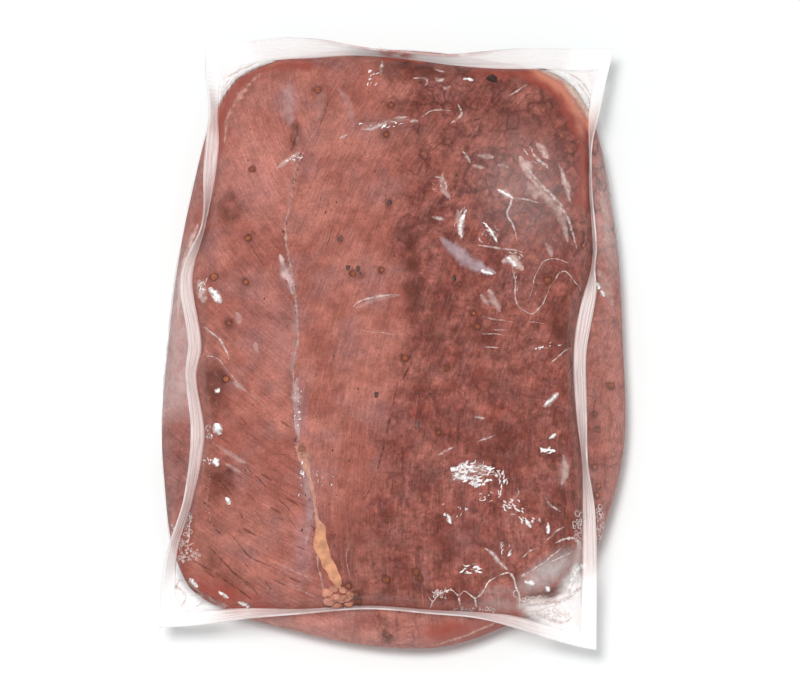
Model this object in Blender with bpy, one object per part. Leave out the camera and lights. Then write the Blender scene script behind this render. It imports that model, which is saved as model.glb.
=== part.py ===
"""A sealed clear pouch with one marinated beef roast in it, lying on its back with the flat front up.

Metres, +Z up, +Y towards the pouch's top seal. The origin is under the middle of the footprint, on
the surface that the pouch lies on. The filled pouch is one closed solid: a flat front, a shoulder
down to the seal, the seal band that runs round the pouch, and the back film that bulges out below
the band and lies flat on the surface.

Every outline of the pouch is a loop over the edge of a unit square, so that (a, b) names the same
place on each of them: a runs from the left side to the right, b from the bottom to the top, and the
square's four corners are the pouch's flat ears.
"""

import bpy
import bmesh
import math

MM = 0.001

# Driving sizes of the filled pouch
THICKNESS = 54 * MM  # from the surface that it lies on to the flat front
SEAL_HEIGHT = 40 * MM  # of the seal line, at the middle of each side
EAR_DROP = 7 * MM  # how much lower the seal line is at the four ears
BELLY_HEIGHT = 22 * MM  # where the back film bulges out furthest
SIDE_BAND = 6 * MM  # width of the seal band on the left, right and bottom
TOP_BAND = 9 * MM  # width of the seal band on the top, the last seal to be made
BAND_THICKNESS = 0.6 * MM

# Mesh density: stations along a short side and a long side, and rings down each curved wall
SHORT_STATIONS = 36
LONG_STATIONS = 50
SHOULDER_RINGS = 4
BELLY_RINGS = 5
FOOT_RINGS = 4

# The rim of the flat front, a superellipse that leans to the right as the roast does
FRONT_HALF_WIDTH = 66.5 * MM
FRONT_HALF_LENGTH = 101.5 * MM
FRONT_FLARE = 3.5 * MM  # how much wider its bottom is
FRONT_LEAN = 4.5 * MM  # how far its top lies to the right
FRONT_MIDDLE_Y = 3 * MM
FRONT_POWER = 8  # 2 is an ellipse, and a higher power has tighter corners

# The widest outline, at the belly: points in millimetres on a smooth closed curve, clockwise from
# the bottom left ear, with four to a side
BELLY = (
    (-81.0, -99.0),
    (-93.2, -50.0),
    (-91.8, 2.0),
    (-84.4, 58.0),
    (-70.0, 107.0),
    (-42.0, 120.5),
    (-6.0, 124.8),
    (36.0, 120.5),
    (77.0, 105.0),
    (90.0, 54.0),
    (93.3, 2.0),
    (92.1, -48.0),
    (74.0, -97.0),
    (46.0, -113.8),
    (13.0, -123.2),
    (-34.0, -117.5),
)
FOOT_SHARE = 0.78  # the flat foot's outline as a share of the belly's

# The seal line round the pouch, as the drawn-in sides hold it. Each row is a station along the side
# and where the seal line is across it, in millimetres, and how far the band is turned up there, in
# degrees: 0 where it lies flat, 90 where it stands.
LEFT_SEAL = (
    (-109.8, -86.5, 0),
    (-86.0, -85.7, 58),
    (-66.0, -79.8, 62),
    (-40.0, -75.4, 34),
    (-16.0, -78.8, 50),
    (-3.0, -77.0, 34),
    (24.0, -81.0, 55),
    (48.0, -75.3, 66),
    (76.0, -71.2, 30),
    (94.0, -71.8, 58),
    (115.4, -71.3, 0),
)
RIGHT_SEAL = (
    (-118.8, 74.0, 0),
    (-74.0, 74.8, 38),
    (-52.0, 74.9, 74),
    (-28.0, 72.4, 46),
    (-6.0, 71.9, 34),
    (12.0, 74.6, 22),
    (36.0, 80.6, 68),
    (60.0, 79.3, 76),
    (80.0, 79.4, 72),
    (97.0, 79.7, 30),
    (114.1, 84.2, 0),
)
BOTTOM_SEAL = (
    (-86.5, -109.8, 0),
    (-58.0, -109.1, 42),
    (-36.0, -109.5, 68),
    (-10.0, -108.2, 74),
    (15.0, -109.9, 72),
    (34.0, -110.8, 62),
    (50.0, -112.6, 32),
    (74.0, -118.8, 0),
)
TOP_SEAL = (
    (-71.3, 115.4, 0),
    (-36.0, 116.0, 44),
    (-14.0, 116.6, 76),
    (8.0, 115.2, 80),
    (24.0, 113.1, 70),
    (42.0, 111.4, 42),
    (60.0, 111.6, 14),
    (84.2, 114.1, 0),
)

# Relief of the flat front: the valley between the two big muscles, and the open cleft in the grain,
# as lines through points in millimetres
VALLEY = ((-26.0, -104.0), (-29.0, -86.0), (-34.0, -52.0), (-36.0, 0.0), (-38.0, 38.0), (-30.0, 66.0))
VALLEY_DEPTH = 1.6 * MM
VALLEY_HALF_WIDTH = 6 * MM
CLEFT = ((-4.0, -50.0), (2.0, -12.0))
CLEFT_DEPTH = 0.9 * MM
CLEFT_HALF_WIDTH = 4 * MM
CROWN = 1.5 * MM  # how much the front's rim falls below its middle
SWELL = 0.5 * MM  # low unevenness of the front
SWELL_LENGTH_X = 17 * MM
SWELL_LENGTH_Y = 29 * MM

EAR_START = 0.62  # share of the way from a side's middle to its end where the ear begins
EAR_RUN = 4  # band widths from a side's end within which the band's outer edge reaches for the ear

FILM_COLOUR = (0.86, 0.80, 0.80, 1.0)
MEAT_COLOUR = (0.47, 0.17, 0.14, 1.0)
MEAT_SLOT = 0
FILM_SLOT = 1


def between(low, high, share):
    return low + (high - low) * share


def smooth_curve(before, start, end, after, share):
    """A value on the smooth curve that runs from start to end, between the values on either side.

    Each value comes with its place along the curve."""
    run = end[0] - start[0]
    slope_in = (end[1] - before[1]) / (end[0] - before[0]) * run
    slope_out = (after[1] - start[1]) / (after[0] - start[0]) * run
    return (
        (2 * share**3 - 3 * share**2 + 1) * start[1]
        + (share**3 - 2 * share**2 + share) * slope_in
        + (3 * share**2 - 2 * share**3) * end[1]
        + (share**3 - share**2) * slope_out
    )


def along_side(rows, at, column):
    """The value in one column of a side's rows at a place along the side, both in the rows' units."""
    last = len(rows) - 1
    i = max(j for j in range(last) if j == 0 or rows[j][0] <= at)
    share = min(max((at - rows[i][0]) / (rows[i + 1][0] - rows[i][0]), 0.0), 1.0)
    four = [rows[k] for k in (max(i - 1, 0), i, i + 1, min(i + 2, last))]
    return smooth_curve(*[(row[0], row[column]) for row in four], share)


def belly(a, b):
    """The widest outline, where the back film bulges out, at the edge point (a, b)."""
    if a == -1.0:
        turn = (b + 1) / 2
    elif b == 1.0:
        turn = 1 + (a + 1) / 2
    elif a == 1.0:
        turn = 2 + (1 - b) / 2
    else:
        turn = 3 + (1 - a) / 2
    spot = turn * len(BELLY) / 4
    i = math.floor(spot)
    four = [(k, BELLY[k % len(BELLY)]) for k in range(i - 1, i + 3)]
    x, y = (smooth_curve(*[(k, point[axis]) for k, point in four], spot - i) for axis in (0, 1))
    return x * MM, y * MM


def front_rim(a, b):
    """The rim of the flat front at the edge point (a, b)."""
    radius = (abs(a) ** FRONT_POWER + abs(b) ** FRONT_POWER) ** (1 / FRONT_POWER)
    across, along = a / radius, b / radius
    half_width = FRONT_HALF_WIDTH - FRONT_FLARE * along
    return half_width * across + FRONT_LEAN * along, FRONT_HALF_LENGTH * along + FRONT_MIDDLE_Y


def corner_reach(distance, band):
    """How far the band's outer edge runs on past the seal line, near a side's end, towards the ear."""
    return band * max(0.0, 1 - distance / (EAR_RUN * band)) ** 2


def seal(a, b):
    """The seal line at the edge point (a, b), the band's outer edge in plan, and how it is turned up.

    Returns two x, y points, the height of the outer edge above the seal line, and the angle in
    radians by which the band is turned up."""
    on_side = abs(a) == 1.0
    if on_side:
        rows, place, outward, width = (LEFT_SEAL if a < 0 else RIGHT_SEAL), b, a, SIDE_BAND
    elif b < 0:
        rows, place, outward, width = BOTTOM_SEAL, a, b, SIDE_BAND
    else:
        rows, place, outward, width = TOP_SEAL, a, b, TOP_BAND
    low, high = rows[0][0], rows[-1][0]
    at = between(low, high, (place + 1) / 2)
    across = along_side(rows, at, 1) * MM
    turned = math.radians(max(along_side(rows, at, 2), 0.0))
    outer_across = across + outward * width * math.cos(turned)
    outer_at = at * MM - corner_reach((at - low) * MM, SIDE_BAND)
    outer_at += corner_reach((high - at) * MM, TOP_BAND if on_side else SIDE_BAND)
    rise = width * math.sin(turned)
    if on_side:
        return (across, at * MM), (outer_across, outer_at), rise, turned
    return (at * MM, across), (outer_at, outer_across), rise, turned


def earness(a, b):
    """0 along the sides and 1 at the four corners, where the pouch runs out into a flat ear."""
    share = max(0.0, (min(abs(a), abs(b)) - EAR_START) / (1 - EAR_START))
    return share**2 * (3 - 2 * share)


def distance_to_line(x, y, line):
    """The distance from a point to a line through points given in millimetres."""
    nearest = []
    for (x0, y0), (x1, y1) in zip(line, line[1:]):
        dx, dy = (x1 - x0) * MM, (y1 - y0) * MM
        share = ((x - x0 * MM) * dx + (y - y0 * MM) * dy) / (dx * dx + dy * dy)
        share = min(max(share, 0.0), 1.0)
        nearest.append(math.hypot(x - x0 * MM - share * dx, y - y0 * MM - share * dy))
    return min(nearest)


def front_height(x, y, edge):
    """The height of the flat front. edge runs from 0 at its middle to 1 at its rim."""
    valley = VALLEY_DEPTH * math.exp(-((distance_to_line(x, y, VALLEY) / VALLEY_HALF_WIDTH) ** 2))
    cleft = CLEFT_DEPTH * math.exp(-((distance_to_line(x, y, CLEFT) / CLEFT_HALF_WIDTH) ** 2))
    swell = SWELL * math.sin(x / SWELL_LENGTH_X + 1.0) * math.sin(y / SWELL_LENGTH_Y)
    return THICKNESS - CROWN * edge**3 - (valley + cleft) * (1 - edge**6) + swell * (1 - edge**2)


def front_point(a, b):
    """A point of the front. The unit square's rings become rings inside the front's rim."""
    edge = max(abs(a), abs(b))
    x, y = a * FRONT_HALF_WIDTH, b * FRONT_HALF_LENGTH + FRONT_MIDDLE_Y
    if edge > 0.0:
        rim_x, rim_y = front_rim(a / edge, b / edge)
        x = between(x, rim_x * edge, edge**4)
        y = between(y, (rim_y - FRONT_MIDDLE_Y) * edge + FRONT_MIDDLE_Y, edge**4)
    return x, y, front_height(x, y, edge)


def band_point(a, b, outer, side):
    """A point of the seal band: at its outer edge or the seal line, on its front (1) or back (-1)."""
    seal_place, outer_place, rise, turned = seal(a, b)
    away_x, away_y = (a, 0.0) if abs(a) == 1.0 else (0.0, b)
    x, y = outer_place if outer else seal_place
    height = SEAL_HEIGHT - EAR_DROP * earness(a, b) + (rise if outer else 0.0)
    lean = side * BAND_THICKNESS / 2 * math.sin(turned)
    lift = side * BAND_THICKNESS / 2 * math.cos(turned)
    return x - away_x * lean, y - away_y * lean, height + lift


def shoulder_point(a, b, share):
    """A point between the front's rim (share 0) and the seal line (share 1).

    It rounds over on the sides, and runs straight where it goes out into an ear."""
    ear = earness(a, b)
    rim_x, rim_y = front_rim(a, b)
    seal_x, seal_y, seal_z = band_point(a, b, False, 1)
    turn = share * math.pi / 2
    out = between(math.sin(turn), share, ear)
    down = between(1 - math.cos(turn), share, ear)
    return (
        between(rim_x, seal_x, out),
        between(rim_y, seal_y, out),
        between(front_height(rim_x, rim_y, 1.0), seal_z, down),
    )


def belly_point(a, b, share):
    """A point of the back film between the seal line (share 0) and the widest place (share 1)."""
    seal_x, seal_y, seal_z = band_point(a, b, False, -1)
    wide_x, wide_y = belly(a, b)
    turn = share * math.pi / 2
    return (
        between(seal_x, wide_x, math.sin(turn)),
        between(seal_y, wide_y, math.sin(turn)),
        between(BELLY_HEIGHT, seal_z, math.cos(turn)),
    )


def foot_point(a, b, share):
    """A point of the back film between the widest place (share 0) and the flat foot (share 1)."""
    wide_x, wide_y = belly(a, b)
    turn = share * math.pi / 2
    reach = between(FOOT_SHARE, 1.0, math.cos(turn))
    return wide_x * reach, wide_y * reach, BELLY_HEIGHT * (1 - math.sin(turn))


def material(name, colour, roughness):
    made = bpy.data.materials.new(name)
    made.use_nodes = True
    shader = made.node_tree.nodes["Principled BSDF"]
    shader.inputs["Base Color"].default_value = colour
    shader.inputs["Roughness"].default_value = roughness
    shader.inputs["Metallic"].default_value = 0.0
    return made


def filled_pouch():
    """The whole pouch: a grid for the front, its rim extruded ring by ring to the foot, and the foot."""
    rings = [
        *[(MEAT_SLOT, shoulder_point, (i / SHOULDER_RINGS,)) for i in range(1, SHOULDER_RINGS + 1)],
        (FILM_SLOT, band_point, (True, 1)),
        (FILM_SLOT, band_point, (True, -1)),
        (FILM_SLOT, band_point, (False, -1)),
        *[(MEAT_SLOT, belly_point, (i / BELLY_RINGS,)) for i in range(1, BELLY_RINGS + 1)],
        *[(MEAT_SLOT, foot_point, (i / FOOT_RINGS,)) for i in range(1, FOOT_RINGS + 1)],
    ]
    bm = bmesh.new()
    bmesh.ops.create_grid(bm, x_segments=SHORT_STATIONS, y_segments=LONG_STATIONS, size=1.0)
    square = {v: (round(v.co.x, 6), round(v.co.y, 6)) for v in bm.verts}
    places = {v: front_point(*square[v]) for v in bm.verts}
    rim = [edge for edge in bm.edges if edge.is_boundary]
    for slot, shape, at in rings:
        inner = {v for edge in rim for v in edge.verts}
        made = bmesh.ops.extrude_edge_only(bm, edges=rim)["geom"]
        for v in [item for item in made if isinstance(item, bmesh.types.BMVert)]:
            source = next(edge.other_vert(v) for edge in v.link_edges if edge.other_vert(v) in inner)
            square[v] = square[source]
            places[v] = shape(*square[v], *at)
        for face in [item for item in made if isinstance(item, bmesh.types.BMFace)]:
            face.material_index = slot
        rim = [item for item in made if isinstance(item, bmesh.types.BMEdge)]
    for v, place in places.items():
        v.co = place
    bmesh.ops.contextual_create(bm, geom=rim)
    bmesh.ops.recalc_face_normals(bm, faces=bm.faces)
    mesh = bpy.data.meshes.new("filled_pouch")
    bm.to_mesh(mesh)
    bm.free()
    mesh.materials.append(material("beef_under_clear_film", MEAT_COLOUR, 0.15))
    mesh.materials.append(material("clear_sealed_film", FILM_COLOUR, 0.2))
    mesh.shade_smooth()
    collection = bpy.data.collections.new("raw_sauerbraten")
    bpy.context.scene.collection.children.link(collection)
    collection.objects.link(bpy.data.objects.new("filled_pouch", mesh))


for old_object in list(bpy.data.objects):
    bpy.data.objects.remove(old_object, do_unlink=True)
filled_pouch()
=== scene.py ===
"""The looks of a raw sauerbraten: a marinated beef roast in a clear sealed pouch, flat front up.

Metres, +Z up, +Y towards the pouch's top seal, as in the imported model. One closed solid stands for the
whole pouch there, and the pieces made here replace it: the roast, the seam and fat in it, the spices,
the froth, the film and its seal band.
"""

import math
import random

import bmesh
import bpy
import numpy as np
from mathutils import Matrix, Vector, noise
from mathutils.bvhtree import BVHTree


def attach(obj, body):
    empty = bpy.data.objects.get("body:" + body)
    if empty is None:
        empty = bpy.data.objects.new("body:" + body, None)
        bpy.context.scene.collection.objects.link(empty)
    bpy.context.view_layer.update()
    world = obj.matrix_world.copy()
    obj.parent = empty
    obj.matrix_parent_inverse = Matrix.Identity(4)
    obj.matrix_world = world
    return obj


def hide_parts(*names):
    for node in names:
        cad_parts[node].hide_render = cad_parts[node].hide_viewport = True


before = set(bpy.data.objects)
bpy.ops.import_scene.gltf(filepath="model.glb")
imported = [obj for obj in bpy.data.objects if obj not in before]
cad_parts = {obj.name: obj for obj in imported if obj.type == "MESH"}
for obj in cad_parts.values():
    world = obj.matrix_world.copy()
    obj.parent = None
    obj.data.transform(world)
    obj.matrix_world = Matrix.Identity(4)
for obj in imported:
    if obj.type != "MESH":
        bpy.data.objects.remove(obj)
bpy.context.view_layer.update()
MM = 0.001

# The roast.
# One piece of marinated beef, three muscles side by side, pressed into the pouch by the vacuum, so that
# its front is flat and its back takes the round form of the film that it lies in.
THICKNESS = 54 * MM
SEAL_HEIGHT = 40 * MM
EAR_DROP = 7 * MM
BELLY_HEIGHT = 22 * MM
FILM_GAP = 0.35 * MM
FRONT_HALF_WIDTH = 66.5 * MM
FRONT_HALF_LENGTH = 101.5 * MM
FRONT_FLARE = 3.5 * MM
FRONT_LEAN = 4.5 * MM
FRONT_MIDDLE_Y = 3 * MM
FRONT_POWER = 8
CROWN = 1.5 * MM
SWELL = 0.5 * MM
SWELL_LENGTH_X = 17 * MM
SWELL_LENGTH_Y = 29 * MM
FOOT_SHARE = 0.78
EAR_START = 0.62
# widest outline of the pouch, in millimetres, clockwise from the bottom left, four points to a side, and
# the share of it that the meat takes up
BELLY = (
    (-81, -99),
    (-93.2, -50),
    (-91.8, 2),
    (-84.4, 58),
    (-70, 107),
    (-42, 120.5),
    (-6, 124.8),
    (36, 120.5),
    (77, 105),
    (90, 54),
    (93.3, 2),
    (92.1, -48),
    (74, -97),
    (46, -113.8),
    (13, -123.2),
    (-34, -117.5),
)
MEAT_SHARE = 0.996
VALLEY = ((-26, -104), (-29, -86), (-34, -52), (-36, 0), (-38, 38), (-30, 66))
VALLEY_DEPTH = 1.6 * MM
VALLEY_HALF_WIDTH = 6 * MM
CLEFT = ((-4, -50), (2, -12))
CLEFT_DEPTH = 0.9 * MM
CLEFT_HALF_WIDTH = 4 * MM
# the seam between the left and the middle muscle, and the split in the grain, in millimetres
SEAM = (
    (-26, -108),
    (-29.5, -92),
    (-30.3, -78.5),
    (-32.8, -61.5),
    (-37.6, -48.7),
    (-37, -37),
    (-39.8, -19),
    (-37.9, 0),
    (-39.4, 16.6),
    (-43.3, 41),
    (-40.7, 54.3),
    (-38.7, 67.6),
    (-31, 84),
)
SPLIT = (
    (-12.4, -67.8),
    (-8.5, -61.5),
    (-6.5, -57.5),
    (-2.6, -40.3),
    (-0.4, -31),
    (0, -22),
    (4.9, -11.4),
    (7.6, -5.3),
)
RIGHT_EDGE = ((-14, -110), (-10, -68), (1, -25), (8, 0), (4, 40), (-2, 118))
LEFT_GRAIN_CENTRE = (60.0, 120.0)
MIDDLE_GRAIN_CENTRE = (300.0, -80.0)

SEAL_SIDE_BAND = 6 * MM
SEAL_TOP_BAND = 9 * MM
BAND_THICKNESS = 0.6 * MM
EAR_RUN = 4
# the seal line: station along the side and place across it in millimetres, band's turn in degrees
LEFT_SEAL = (
    (-109.8, -86.5, 0),
    (-86, -85.7, 58),
    (-66, -79.8, 62),
    (-40, -75.4, 34),
    (-16, -78.8, 50),
    (-3, -77, 34),
    (24, -81, 44),
    (46, -76.2, 84),
    (76, -71.2, 30),
    (94, -71.8, 58),
    (115.4, -71.3, 0),
)
RIGHT_SEAL = (
    (-118.8, 74, 0),
    (-74, 74.8, 38),
    (-52, 74.9, 74),
    (-28, 72.4, 46),
    (-6, 71.9, 34),
    (12, 74.6, 18),
    (26, 79, 76),
    (36, 80.4, 82),
    (60, 79.3, 86),
    (80, 79.4, 82),
    (97, 79.7, 30),
    (114.1, 84.2, 0),
)
BOTTOM_SEAL = (
    (-86.5, -109.8, 0),
    (-58, -109.1, 42),
    (-36, -109.5, 68),
    (-10, -108.2, 74),
    (15, -109.9, 72),
    (34, -110.8, 62),
    (50, -112.6, 32),
    (74, -118.8, 0),
)
TOP_SEAL = (
    (-71.3, 115.4, 0),
    (-36, 116.4, 42),
    (-14, 117.6, 84),
    (8, 115.6, 86),
    (24, 113.2, 76),
    (42, 111.6, 46),
    (60, 111.6, 14),
    (84.2, 114.1, 0),
)


def between(low, high, share):
    return low + (high - low) * share


def steps(count):
    """Equal steps from just above 0 up to 1."""
    return [i / count for i in range(1, count + 1)]


def past(values, stretch):
    """From 0 at a stretch's start to 1 at its end. It is given in millimetres as its start and its run."""
    start, run = stretch
    return np.clip((values - start * MM) / (run * MM), 0.0, 1.0)


def smooth_curve(before, start, end, after, share):
    """A value on the smooth curve from start to end, between the values on either side of them."""
    run = end[0] - start[0]
    slope_in = (end[1] - before[1]) / (end[0] - before[0]) * run
    slope_out = (after[1] - start[1]) / (after[0] - start[0]) * run
    return (
        (2 * share**3 - 3 * share**2 + 1) * start[1]
        + (share**3 - 2 * share**2 + share) * slope_in
        + (3 * share**2 - 2 * share**3) * end[1]
        + (share**3 - share**2) * slope_out
    )


def along_side(rows, at, column):
    last = len(rows) - 1
    i = max(j for j in range(last) if j == 0 or rows[j][0] <= at)
    share = min(max((at - rows[i][0]) / (rows[i + 1][0] - rows[i][0]), 0.0), 1.0)
    four = [rows[k] for k in (max(i - 1, 0), i, i + 1, min(i + 2, last))]
    return smooth_curve(*[(row[0], row[column]) for row in four], share)


def round_loop(points, a, b):
    """Where the edge point (a, b) of the unit square lies on a smooth closed curve through points."""
    if a == -1.0:
        turn = (b + 1) / 2
    elif b == 1.0:
        turn = 1 + (a + 1) / 2
    elif a == 1.0:
        turn = 2 + (1 - b) / 2
    else:
        turn = 3 + (1 - a) / 2
    spot = turn * len(points) / 4
    i = math.floor(spot)
    four = [(k, points[k % len(points)]) for k in range(i - 1, i + 3)]
    x, y = (smooth_curve(*[(k, point[axis]) for k, point in four], spot - i) for axis in (0, 1))
    return x * MM, y * MM


def front_rim(a, b):
    radius = (abs(a) ** FRONT_POWER + abs(b) ** FRONT_POWER) ** (1 / FRONT_POWER)
    across, along = a / radius, b / radius
    half_width = FRONT_HALF_WIDTH - FRONT_FLARE * along
    return half_width * across + FRONT_LEAN * along, FRONT_HALF_LENGTH * along + FRONT_MIDDLE_Y


def corner_reach(distance, band):
    return band * max(0.0, 1 - distance / (EAR_RUN * band)) ** 2


def seal(a, b):
    """The seal line, the band's outer edge in plan, its rise, and the angle that it is turned up by."""
    on_side = abs(a) == 1.0
    if on_side:
        rows, place, outward, width = (LEFT_SEAL if a < 0 else RIGHT_SEAL), b, a, SEAL_SIDE_BAND
    elif b < 0:
        rows, place, outward, width = BOTTOM_SEAL, a, b, SEAL_SIDE_BAND
    else:
        rows, place, outward, width = TOP_SEAL, a, b, SEAL_TOP_BAND
    low, high = rows[0][0], rows[-1][0]
    at = between(low, high, (place + 1) / 2)
    across = along_side(rows, at, 1) * MM
    turned = math.radians(max(along_side(rows, at, 2), 0.0))
    outer_across = across + outward * width * math.cos(turned)
    outer_at = at * MM - corner_reach((at - low) * MM, SEAL_SIDE_BAND)
    outer_at += corner_reach((high - at) * MM, SEAL_TOP_BAND if on_side else SEAL_SIDE_BAND)
    rise = width * math.sin(turned)
    if on_side:
        return (across, at * MM), (outer_across, outer_at), rise, turned
    return (at * MM, across), (outer_at, outer_across), rise, turned


def earness(a, b):
    """0 along the sides and 1 at the four corners, where the pouch runs out into a flat ear."""
    share = max(0.0, (min(abs(a), abs(b)) - EAR_START) / (1 - EAR_START))
    return share**2 * (3 - 2 * share)


def distance_to_line(x, y, line):
    """The distance from points to a line through points given in millimetres. Takes arrays too."""
    x, y = np.asarray(x, float), np.asarray(y, float)
    nearest = np.full(x.shape, 1.0)
    for (x0, y0), (x1, y1) in zip(line, line[1:]):
        dx, dy = (x1 - x0) * MM, (y1 - y0) * MM
        share = np.clip(((x - x0 * MM) * dx + (y - y0 * MM) * dy) / (dx * dx + dy * dy), 0.0, 1.0)
        nearest = np.minimum(nearest, np.hypot(x - x0 * MM - share * dx, y - y0 * MM - share * dy))
    return nearest


def smoothed(line, parts=6):
    """A line through points, with smooth stretches between them."""
    ends = [line[0], *line, line[-1]]
    points = []
    for four in zip(ends, ends[1:], ends[2:], ends[3:]):
        for t in [k / parts for k in range(parts)]:
            bends = [
                (2 * b, (c - a) * t, (2 * a - 5 * b + 4 * c - d) * t**2, (3 * b - a - 3 * c + d) * t**3)
                for a, b, c, d in zip(*four)
            ]
            points.append(tuple(0.5 * (start + lean + bend + twist) for start, lean, bend, twist in bends))
    return points + [line[-1]]


def front_height(x, y, edge):
    """The height of the pouch's flat front. edge runs from 0 at its middle to 1 at its rim."""
    valley = VALLEY_DEPTH * np.exp(-((distance_to_line(x, y, VALLEY) / VALLEY_HALF_WIDTH) ** 2))
    cleft = CLEFT_DEPTH * np.exp(-((distance_to_line(x, y, CLEFT) / CLEFT_HALF_WIDTH) ** 2))
    swell = SWELL * np.sin(x / SWELL_LENGTH_X + 1.0) * np.sin(y / SWELL_LENGTH_Y)
    return THICKNESS - CROWN * edge**3 - (valley + cleft) * (1 - edge**6) + swell * (1 - edge**2)


def front_place(a, b):
    """Where a point of the unit square lies on the front, in plan, and how near the rim it is."""
    edge = max(abs(a), abs(b))
    x, y = a * FRONT_HALF_WIDTH, b * FRONT_HALF_LENGTH + FRONT_MIDDLE_Y
    if edge > 0.0:
        rim_x, rim_y = front_rim(a / edge, b / edge)
        x = between(x, rim_x * edge, edge**4)
        y = between(y, (rim_y - FRONT_MIDDLE_Y) * edge + FRONT_MIDDLE_Y, edge**4)
    return x, y, edge


def band_point(a, b, outer, side):
    """A point of the seal band: at its outer edge or the seal line, on its front (1) or back (-1)."""
    seal_place, outer_place, rise, turned = seal(a, b)
    away_x, away_y = (a, 0.0) if abs(a) == 1.0 else (0.0, b)
    x, y = outer_place if outer else seal_place
    height = SEAL_HEIGHT - EAR_DROP * earness(a, b) + (rise if outer else 0.0)
    lean = side * BAND_THICKNESS / 2 * math.sin(turned)
    lift = side * BAND_THICKNESS / 2 * math.cos(turned)
    return x - away_x * lean, y - away_y * lean, height + lift


def extruded(bm, rim, ring, square, places):
    """One more ring of faces beyond the edges rim: its outer edges and its vertices."""
    inner = {v for edge in rim for v in edge.verts}
    made = bmesh.ops.extrude_edge_only(bm, edges=rim)["geom"]
    fresh = [item for item in made if isinstance(item, bmesh.types.BMVert)]
    for v in fresh:
        source = next(edge.other_vert(v) for edge in v.link_edges if edge.other_vert(v) in inner)
        square[v] = square[source]
        places[v] = ring(*square[v])
    return [item for item in made if isinstance(item, bmesh.types.BMEdge)], fresh


def on_square(bm):
    """Where each vertex of a grid lies on the unit square."""
    return {v: (round(v.co.x, 6), round(v.co.y, 6)) for v in bm.verts}


def drawn_skin(across, along, front, rings):
    """A bmesh of a grid over the unit square, with its edge extruded ring by ring.

    front gives x, y, z for a point of the square. Each ring is a function of an edge point."""
    bm = bmesh.new()
    bmesh.ops.create_grid(bm, x_segments=across, y_segments=along, size=1.0)
    square = on_square(bm)
    places = {v: front(*square[v]) for v in bm.verts}
    rim = [edge for edge in bm.edges if edge.is_boundary]
    for ring in rings:
        rim, _ = extruded(bm, rim, ring, square, places)
    for v, place in places.items():
        v.co = place
    return bm, rim


def shoulder_ring(share, lower_edge, gap):
    """A ring on the way down from the front's rim to a lower edge: 0 at the rim and 1 at the edge."""

    def place(a, b):
        ear = earness(a, b)
        rim_x, rim_y = front_rim(a, b)
        low_x, low_y, low_z = lower_edge(a, b)
        turn = share * math.pi / 2
        out = between(math.sin(turn), share, ear)
        down = between(1 - math.cos(turn), share, ear)
        top = float(front_height(rim_x, rim_y, 1.0)) - gap
        return between(rim_x, low_x, out), between(rim_y, low_y, out), between(top, low_z, down)

    return place


def side_ring(share, upper_edge, size):
    """A ring between an upper edge, at 0, and the widest outline, at 1, of which size is taken up."""

    def place(a, b):
        up_x, up_y, up_z = upper_edge(a, b)
        wide_x, wide_y = round_loop(BELLY, a, b)
        turn = share * math.pi / 2
        out = math.sin(turn)
        height = between(BELLY_HEIGHT, up_z, math.cos(turn))
        return between(up_x, wide_x * size, out), between(up_y, wide_y * size, out), height

    return place


def foot_ring(share, size, gap):
    """A ring between the widest outline, at 0, and the edge of the flat foot, at 1."""

    def place(a, b):
        wide_x, wide_y = round_loop(BELLY, a, b)
        turn = share * math.pi / 2
        reach = between(FOOT_SHARE, 1.0, math.cos(turn))
        height = between(BELLY_HEIGHT, gap, math.sin(turn))
        return wide_x * size * reach, wide_y * size * reach, height

    return place


def facing(bm, up):
    bm.normal_update()
    if (bm.faces[:][0].normal.z > 0) != up:
        bmesh.ops.reverse_faces(bm, faces=bm.faces)
        bm.normal_update()


def piece_from(bm, name, material):
    """The finished piece: a smooth shaded mesh that rides on the pouch and stands for its solid."""
    mesh = bpy.data.meshes.new(name)
    bm.to_mesh(mesh)
    bm.free()
    mesh.materials.append(material)
    mesh.shade_smooth()
    piece = bpy.data.objects.new(name, mesh)
    bpy.context.scene.collection.objects.link(piece)
    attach(piece, "root")
    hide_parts("filled_pouch")
    return piece


def write_attribute(mesh, name, values):
    made = mesh.attributes.new(name, "FLOAT", "POINT")
    made.data.foreach_set("value", np.ascontiguousarray(values, np.float32))


def vertex_places(mesh):
    places = np.empty(len(mesh.vertices) * 3, np.float32)
    mesh.vertices.foreach_get("co", places)
    return places.reshape(-1, 3).astype(float)


ROAST_ACROSS = 150
ROAST_ALONG = 212
ROAST_SHOULDER_RINGS = 8
ROAST_SIDE_RINGS = 12
ROAST_FOOT_RINGS = 8
WAIST_REACH = 0.975
WAIST_REACH_AT_EARS = 0.93
WAIST_HEIGHT = 39 * MM
WAIST_HEIGHT_AT_EARS = 34.5 * MM
FOOT_GAP = 0.4 * MM


def roast_front(a, b):
    x, y, edge = front_place(a, b)
    return x, y, float(front_height(x, y, edge)) - FILM_GAP


def roast_waist(a, b):
    rim_x, rim_y = front_rim(a, b)
    seal_x, seal_y = seal(a, b)[0]
    ear = earness(a, b)
    reach = between(WAIST_REACH, WAIST_REACH_AT_EARS, ear)
    height = between(WAIST_HEIGHT, WAIST_HEIGHT_AT_EARS, ear)
    return between(rim_x, seal_x, reach), between(rim_y, seal_y, reach), height


def grain_place(x, y, centre):
    """Across and along the fibres, in millimetres: the fibres run in arcs about the centre."""
    away_x, away_y = x / MM - centre[0], y / MM - centre[1]
    mean_radius = math.hypot(*centre)
    towards = -(away_x * centre[0] + away_y * centre[1])
    sideways = away_x * centre[1] - away_y * centre[0]
    return np.hypot(away_x, away_y), np.arctan2(sideways, towards) * mean_radius


def line_x_at(y, line):
    """Where a line that runs from bottom to top, given in millimetres, lies at a height y."""
    return np.interp(y, [p[1] * MM for p in line], [p[0] * MM for p in line])


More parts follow.
